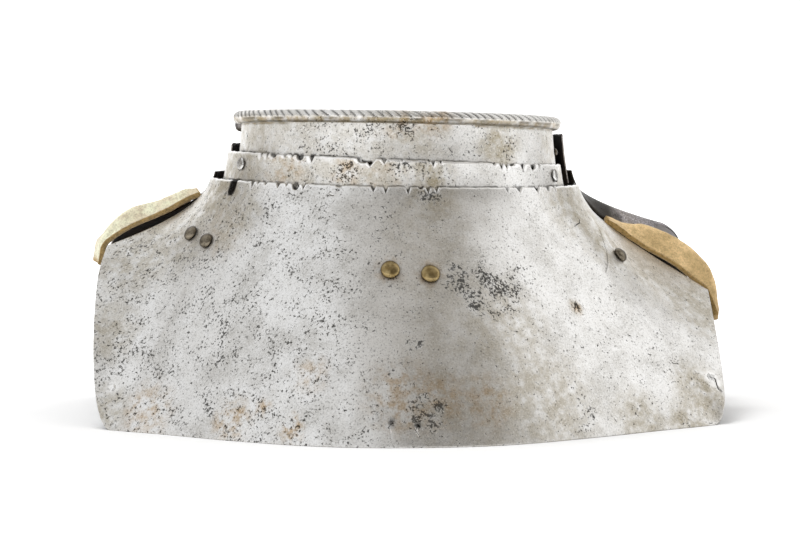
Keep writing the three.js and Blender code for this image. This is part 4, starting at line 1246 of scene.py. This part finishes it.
class GORGET_OT_collars(Operator):
    """Build the two collar plates, each with its roped rim in one piece"""

    bl_idname = "gorget.collars"
    bl_label = "Collars"

    def execute(self, context):
        sizes, _ = settings(context)
        for name, lame, material, body, slot in (
            ("front_collar", FRONT_COLLAR, front_steel(context), "front_half", "steel"),
            ("back_collar", BACK_COLLAR, back_steel(context), "back_half", "inner_steel"),
        ):
            surface = lame_surface(lame)
            turns = np.linspace(lame["start"], lame["end"], 460)
            shares = np.concatenate([[0, 0.008], np.linspace(0.04, 0.48, 12), np.linspace(0.5, 1, 32)])
            u = np.repeat(turns[:, None], len(shares), 1)
            v = np.repeat(shares[None, :], len(turns), 0)
            swell = hammered(sizes.hammering * 0.6, 1.9)
            points, faces = sheet_body(surface, u, v, sizes.lame, swell=swell)
            piece = add_piece(name + "_steel", points, faces, material, inside_steel())
            combine(piece, [rope_rim(lame, sizes, "rim", material)], "UNION")
            cut_rivet_holes(piece, name, material)

            def ground(mark, places, lame=lame, front=body == "front_half"):
                run, angle, away = rim_places(places, lame)
                near = away < RIM_REACH
                # Painted shade in the rope cuts, the crease and the seam under the roll and on the roll's
                # underside, with the painted shadow of the lame's edge
                if mark == "dirt":
                    cuts = rope_cuts(run, angle, sizes.flute) * near
                    crease = np.exp(-((angle + 0.3) / 0.13) ** 2) * near
                    painted_seam_shade = 0.9 * np.exp(-((angle + 1.45) / 0.2) ** 2) * near
                    blotch = np.clip(3 * ripple(places, 9.0, 8.8) + 0.15, 0, 1)
                    roll = 0.3 * near * smooth(-angle, 0.2, 0.5) * (1 + 0.5 * ripple(places, 6.0, 2.9))
                    dirt = np.maximum(np.maximum(cuts, roll), np.maximum(crease, painted_seam_shade) * blotch)
                    if front:
                        turn = turn_of(places, lame["middle"], lame["lower"], lame["lower_front"])
                        cut = cut_depth(MIDDLE_CUTS, turn, LAME_MM_PER_DEGREE)
                        dirt = np.maximum(dirt, painted_overlap_shadow(places, lame_edge_height(turn), cut))
                    return dirt
                # The rim's upper side is painted lighter: painted highlight with some rubbed wear
                if mark == "worn":
                    rubbed = 0.6 + 0.8 * ripple(places, 11.0, 1.4)
                    return 0.45 * near * smooth(angle, 0.15, 0.4) * rubbed
                if mark == "patina":
                    turn = turn_of(places, lame["middle"], lame["lower"], lame["lower_front"])
                    dull = 0.1 + 0.3 * (1 - smooth(turn, 10, 20)) * front
                    return dull + 0.85 * near * smooth(-angle, -0.1, 0.3)
                if mark == "stain":
                    return 0.3 * near * smooth(-angle, -0.1, 0.3)
                return 0.26 * (1 - 0.8 * near) if mark == "pits" else 0

            paint(piece, COLLAR_MARKS if body == "front_half" else [], surface, ground)
            finish_piece(piece, body, slot, name)
        return {"FINISHED"}


def lathe(profile, sides):
    """Points and faces of a turned solid round +Z; the profile starts and ends on the axis."""
    angles = np.linspace(0, 2 * np.pi, sides, endpoint=False)
    inner = profile[1:-1]
    points = [(0, 0, profile[0][1])]
    for radius, height in inner:
        points += [(radius * math.cos(a), radius * math.sin(a), height) for a in angles]
    points.append((0, 0, profile[-1][1]))
    faces = []
    last = len(points) - 1
    for i in range(sides):
        j = (i + 1) % sides
        faces.append([0, 1 + j, 1 + i])
        for ring in range(len(inner) - 1):
            a, b = 1 + ring * sides, 1 + (ring + 1) * sides
            faces.append([a + i, a + j, b + j, b + i])
        a = 1 + (len(inner) - 1) * sides
        faces.append([a + i, a + j, last])
    return np.array(points, float), faces


PLATE_GRIP = 1.4 + RIVET_SEAT
PIVOT_GRIP = 2 * 1.4 + RUNNING_GAP + RIVET_SEAT + PIVOT_SLACK
MIDDLE_SURFACE = lame_surface(FRONT_MIDDLE)
BACK_MIDDLE_SURFACE = lame_surface(BACK_MIDDLE)
COLLAR_SURFACE = lame_surface(FRONT_COLLAR)
FRONT_LAMES = ("front_middle_lame", "front_collar")
BACK_LAMES = ("back_middle_lame", "back_collar")
RIVETS = [
    dict(name="chest_rivet_left", kind=CHEST_RIVET, surface=front_plate, turn=-3.93, down=0.461,
         grip=PLATE_GRIP, metal="brass", body="front_half", through=()),
    dict(name="chest_rivet_right", kind=CHEST_RIVET, surface=front_plate, turn=5.87, down=0.475,
         grip=PLATE_GRIP, metal="brass", body="front_half", through=()),
    dict(name="shoulder_pivot", kind=SHOULDER_RIVET, surface=front_plate, grip=PIVOT_GRIP, metal="iron",
         body="front_half", through=(), **PIVOT_PLACE),
    dict(name="shoulder_rivet_lower", kind=SHOULDER_RIVET, surface=front_plate, turn=-62.43, down=0.361,
         grip=PLATE_GRIP, metal="iron", body="front_half", through=()),
    dict(name="shoulder_stud", kind=SHOULDER_RIVET, surface=front_plate, turn=72.87, down=0.468,
         grip=PLATE_GRIP, metal="iron", body="front_half", through=()),
    dict(name="front_lame_rivet_left", kind=LAME_RIVET, surface=MIDDLE_SURFACE, turn=-66, down=0.3, grip=6.5,
         metal="steel", body="front_half", through=FRONT_LAMES),
    dict(name="front_lame_rivet_right", kind=LAME_RIVET, surface=MIDDLE_SURFACE, turn=67, down=0.28,
         grip=3.7, metal="steel", body="front_half", through=FRONT_LAMES),
    dict(name="back_lame_rivet_left", kind=LAME_RIVET, surface=BACK_MIDDLE_SURFACE, turn=246, down=0.4,
         grip=4.8, metal="inner_steel", body="back_half", through=BACK_LAMES),
    dict(name="back_lame_rivet_right", kind=LAME_RIVET, surface=BACK_MIDDLE_SURFACE, turn=114, down=0.4,
         grip=7.9, metal="inner_steel", body="back_half", through=BACK_LAMES),
    dict(name="collar_rivet", kind=COLLAR_RIVET, surface=COLLAR_SURFACE, turn=84, down=0.5,
         grip=1.1 + RIVET_SEAT, metal="iron", body="front_half", through=("front_collar",)),
]


class GORGET_OT_rivets(Operator):
    """Build the hand-made rivets: brass on the chest, brown iron on the shoulders, steel on the lames"""

    bl_idname = "gorget.rivets"
    bl_label = "Rivets"

    def execute(self, context):
        _, colours = settings(context)
        # Brass dulled by age still shows warm yellow, and iron heads are brown; each head is painted darker
        # towards its sides as painted shade
        metals = {
            "brass": rivet_metal("old_brass", colours.brass, linear("#85714A"), 0.3),
            "iron": rivet_metal("brown_iron", colours.iron, linear("#5E564A"), 0.34),
            "steel": rivet_metal("rubbed_steel", colours.steel, linear("#8F8B84"), 0.26),
            "inner_steel": rivet_metal("dull_steel_rivet", colours.inner, linear("#6F6A68"), 0.4),
        }
        for number, rivet in enumerate(RIVETS):
            points, faces = lathe(rivet_profile(rivet["kind"], rivet["grip"]), 36)
            head = points[:, 2] > RIVET_SEAT + 0.1
            local = points + number * 11.0
            points[head, 2] += 0.07 * ripple(local[head], 1.9, 2.2) * rivet["kind"]["tall"]
            points[head, :2] *= 1 + 0.05 * ripple(local[head], 3.5, 4.1)[:, None]
            centre = rivet["surface"](rivet["turn"], rivet["down"])
            normal = outward(rivet["surface"], rivet["turn"], rivet["down"])
            turned = np.array(Quaternion(Vector((0, 0, 1)).rotation_difference(Vector(normal))).to_matrix())
            placed = points @ turned.T + centre
            piece = add_piece(rivet["name"] + "_head", placed, faces, metals[rivet["metal"]])
            finish_piece(piece, rivet["body"], rivet["metal"], rivet["name"])
        return {"FINISHED"}


def rivet_profile(kind, grip):
    """Half outline of a rivet: flat tail inside, shank, and a domed head with a soft foot."""
    tail = kind["shank"] + TAIL_OVER_SHANK
    profile = [(0, -grip - TAIL_TALL), (tail * 0.8, -grip - TAIL_TALL), (tail, -grip - TAIL_TALL * 0.7),
               (tail, -grip), (kind["shank"], -grip), (kind["shank"], RIVET_SEAT)]
    profile += [(kind["head"] * 0.96, RIVET_SEAT), (kind["head"], RIVET_SEAT + 0.16)]
    steps = 9
    for i in range(1, steps):
        angle = math.pi / 2 * i / steps
        lower = RIVET_SEAT + 0.16
        radius = kind["head"] * math.cos(angle) ** 0.9
        profile.append((radius, lower + (kind["tall"] - 0.16) * math.sin(angle)))
    profile.append((0, RIVET_SEAT + kind["tall"]))
    return profile


class GORGET_OT_leathers(Operator):
    """Build the thick buff leather along each shoulder"""

    bl_idname = "gorget.leathers"
    bl_label = "Leathers"

    def execute(self, context):
        sizes, colours = settings(context)
        # The left leather takes a paler copy of the buff, painted light for the strong light on that
        # shoulder
        pale = buff_leather("pale_lit_buff_leather", colours.pale_buff, linear("#C4A46C"))
        golden = buff_leather("golden_buff_leather", colours.buff, linear("#BF9C60"))
        for name, edges, material, way in (
            ("leather_left", LEATHER_LEFT, pale, -1),
            ("leather_right", LEATHER_RIGHT, golden, 1),
        ):
            surface = leather_surface(edges)
            ends = close_rows(100, [0.004, 0.009])
            across = close_rows(64, [0.008, 0.018])
            u = np.repeat(ends[:, None], len(across), 1)
            v = np.repeat(across[None, :], len(ends), 0)

            def lumpy(points, seed=way * 2.5):
                return 0.3 * ripple(points, 6.5, seed) + 0.16 * ripple(points, 2.2, seed + 3)

            thickness = -way * sizes.leather
            points, faces = sheet_body(surface, u, v, thickness, swell=lumpy, soft=0.16, step_u=0.001)
            if way > 0:
                faces = faces[:, ::-1]
            piece = add_piece(name + "_buff", points, faces, material)
            count = u.size
            # The underside takes the cut edge's browner, darker tone: the rough flesh side, and painted
            # shade in the gap under the leather
            near = np.minimum(np.minimum(v, 1 - v) * 36, np.minimum(u, 1 - u) * 62).reshape(-1)
            cut = 1 - smooth(near, 0.3, 1.2)
            layer = piece.data.attributes.new("edge", "FLOAT", "POINT")
            layer.data.foreach_set("value", np.concatenate([cut, np.ones(count) * 0.9]))
            finish_piece(piece, "back_half", "leather", name)
        return {"FINISHED"}


class GORGET_OT_stage(Operator):
    """Set up the pale floor, the soft studio light and the camera"""

    bl_idname = "gorget.stage"
    bl_label = "Stage"

    def execute(self, context):
        build_floor()
        build_world()
        build_lights()
        build_camera()
        return {"FINISHED"}


PAPER_GLOW = 0.5
GLOW_STARTS = 180
GLOW_FULL = 420


def build_floor():
    """A pale sweep: a floor that curves up into a back wall."""
    width, depth, radius, tall = 16000.0, 8000.0, 2000.0, 7000.0
    profile = [(-8000.0, 0.0), (depth - radius, 0.0)]
    for i in range(1, 13):
        angle = math.pi / 2 * i / 12
        profile.append((depth - radius + radius * math.sin(angle), radius - radius * math.cos(angle)))
    profile.append((depth, tall))
    points = []
    for y, z in profile:
        points += [(-width / 2, y, z), (width / 2, y, z)]
    faces = [[2 * i, 2 * i + 1, 2 * i + 3, 2 * i + 2] for i in range(len(profile) - 1)]
    # Matt white paper lit from behind, which gives the eye a soft shadow and nothing else
    material = new_material("white_paper")
    tree = material.node_tree
    grain = node(tree, "ShaderNodeTexNoise", {"Scale": per_metre(2.0), "Detail": 2.0})
    tone = mixed(tree, grain.outputs["Fac"], linear("#F7F7F7"), linear("#FAFAFA"))
    place = node(tree, "ShaderNodeTexCoord").outputs["Object"]
    away = node(tree, "ShaderNodeVectorMath", {0: place}, operation="LENGTH").outputs["Value"]
    glow = ramped(tree, away, GLOW_STARTS * MM, GLOW_FULL * MM, 0.02, PAPER_GLOW)
    shader = node(tree, "ShaderNodeBsdfPrincipled", {
        "Base Color": tone, "Roughness": 0.95, "Specular IOR Level": 0.1,
        "Emission Color": (1.0, 1.0, 1.0, 1.0), "Emission Strength": glow,
    })
    node(tree, "ShaderNodeOutputMaterial", {"Surface": shader.outputs["BSDF"]})
    floor = add_piece("floor", points, faces, material)


def build_world():
    """Soft white light all round, with brighter and unlit parts of the studio as smooth patches."""
    world = bpy.data.worlds.new("studio")
    world.use_nodes = True
    bpy.context.scene.world = world
    tree = world.node_tree
    tree.nodes.clear()
    way = node(tree, "ShaderNodeTexCoord").outputs["Generated"]
    tone = OPEN_STUDIO
    for patch in STUDIO_PATCHES:
        turn, rise = math.radians(patch["turn"]), math.radians(patch["rise"])
        aim = (math.sin(turn) * math.cos(rise), -math.cos(turn) * math.cos(rise), math.sin(rise))
        dot = node(tree, "ShaderNodeVectorMath", {0: way, 1: aim}, operation="DOT_PRODUCT").outputs["Value"]
        edge = math.cos(math.radians(patch["reach"] + patch["soft"]))
        share = ramped(tree, dot, edge, math.cos(math.radians(patch["reach"])))
        tone = mixed(tree, share, tone, tuple(patch["level"] * c for c in patch["tint"]))
    back = node(tree, "ShaderNodeBackground", {"Color": tone, "Strength": 1.0})
    node(tree, "ShaderNodeOutputWorld", {"Surface": back.outputs["Background"]})


# The studio as seen from the gorget: turn, rise, reach and softness in degrees, then how bright and its tint
OPEN_STUDIO = (0.93, 0.94, 0.955)
WARM_GREY = (1.0, 0.96, 0.9)
NEUTRAL = (1.0, 1.0, 1.0)
STUDIO_PATCHES = [
    dict(turn=-125, rise=2, reach=22, soft=24, level=0.5, tint=WARM_GREY),
    dict(turn=138, rise=18, reach=20, soft=24, level=0.5, tint=WARM_GREY),
    dict(turn=76, rise=40, reach=22, soft=26, level=1.28, tint=NEUTRAL),
    dict(turn=40, rise=30, reach=15, soft=20, level=0.42, tint=WARM_GREY),
    dict(turn=18, rise=62, reach=12, soft=26, level=0.52, tint=WARM_GREY),
    dict(turn=17, rise=33, reach=10, soft=14, level=0.26, tint=WARM_GREY),
    dict(turn=16, rise=10, reach=9, soft=17, level=0.28, tint=WARM_GREY),
]


def build_lights():
    """A softbox overhead and behind on the left, which throws the soft shadow under the front edge."""
    light = bpy.data.lights.new("softbox", "AREA")
    light.shape = "RECTANGLE"
    light.size = 900 * MM
    light.size_y = 700 * MM
    light.energy = 22
    lamp = bpy.data.objects.new("softbox", light)
    bpy.context.scene.collection.objects.link(lamp)
    lamp.location = Vector((-420, 560, 2300)) * MM
    lamp.rotation_euler = (Vector((0, 0, 0.07)) - lamp.location).to_track_quat("-Z", "Y").to_euler()
    # The steel mirrors only the studio, as the lamp in the photo stands behind a white tent
    lamp.visible_glossy = False


CAMERA_PLACE = np.array([-95.48, -1592.09, 195.02])
CAMERA_AIM = np.array([1.9, 0.0, 69.49])


def build_camera():
    data = bpy.data.cameras.new("camera")
    data.lens = 150
    data.sensor_width = 36
    data.clip_start = 0.05
    data.clip_end = 60
    camera = bpy.data.objects.new("camera", data)
    bpy.context.scene.collection.objects.link(camera)
    camera.location = Vector((CAMERA_PLACE + SHIFT) * MM)
    aim = Vector((CAMERA_AIM + SHIFT) * MM)
    camera.rotation_euler = (aim - camera.location).to_track_quat("-Z", "Y").to_euler()
    bpy.context.scene.camera = camera
    bpy.context.scene.view_settings.view_transform = "Standard"


OPERATORS = (
    GORGET_OT_front_plate,
    GORGET_OT_back_plate,
    GORGET_OT_middle_lames,
    GORGET_OT_collars,
    GORGET_OT_rivets,
    GORGET_OT_leathers,
    GORGET_OT_stage,
)


class GORGET_PT_panel(Panel):
    """Lists the sizes, colours and building steps of the gorget"""

    bl_label = "Gorget"
    bl_idname = "GORGET_PT_panel"
    bl_space_type = "VIEW_3D"
    bl_region_type = "UI"
    bl_category = "Gorget"

    def draw(self, context):
        for group in settings(context):
            for name in group.bl_rna.properties.keys():
                if name not in ("rna_type", "name"):
                    self.layout.prop(group, name)
        for operator in OPERATORS:
            self.layout.operator(operator.bl_idname)


CLASSES = (GorgetSizes, GorgetColours, *OPERATORS, GORGET_PT_panel)


def register():
    for cls in CLASSES:
        bpy.utils.register_class(cls)
    bpy.types.Scene.gorget_sizes = PointerProperty(type=GorgetSizes)
    bpy.types.Scene.gorget_colours = PointerProperty(type=GorgetColours)


def unregister():
    del bpy.types.Scene.gorget_colours
    del bpy.types.Scene.gorget_sizes
    for cls in reversed(CLASSES):
        bpy.utils.unregister_class(cls)


def main():
    register()
    for operator in OPERATORS:
        group, name = operator.bl_idname.split(".")
        getattr(getattr(bpy.ops, group), name)()
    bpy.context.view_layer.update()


if __name__ == "__main__":
    main()
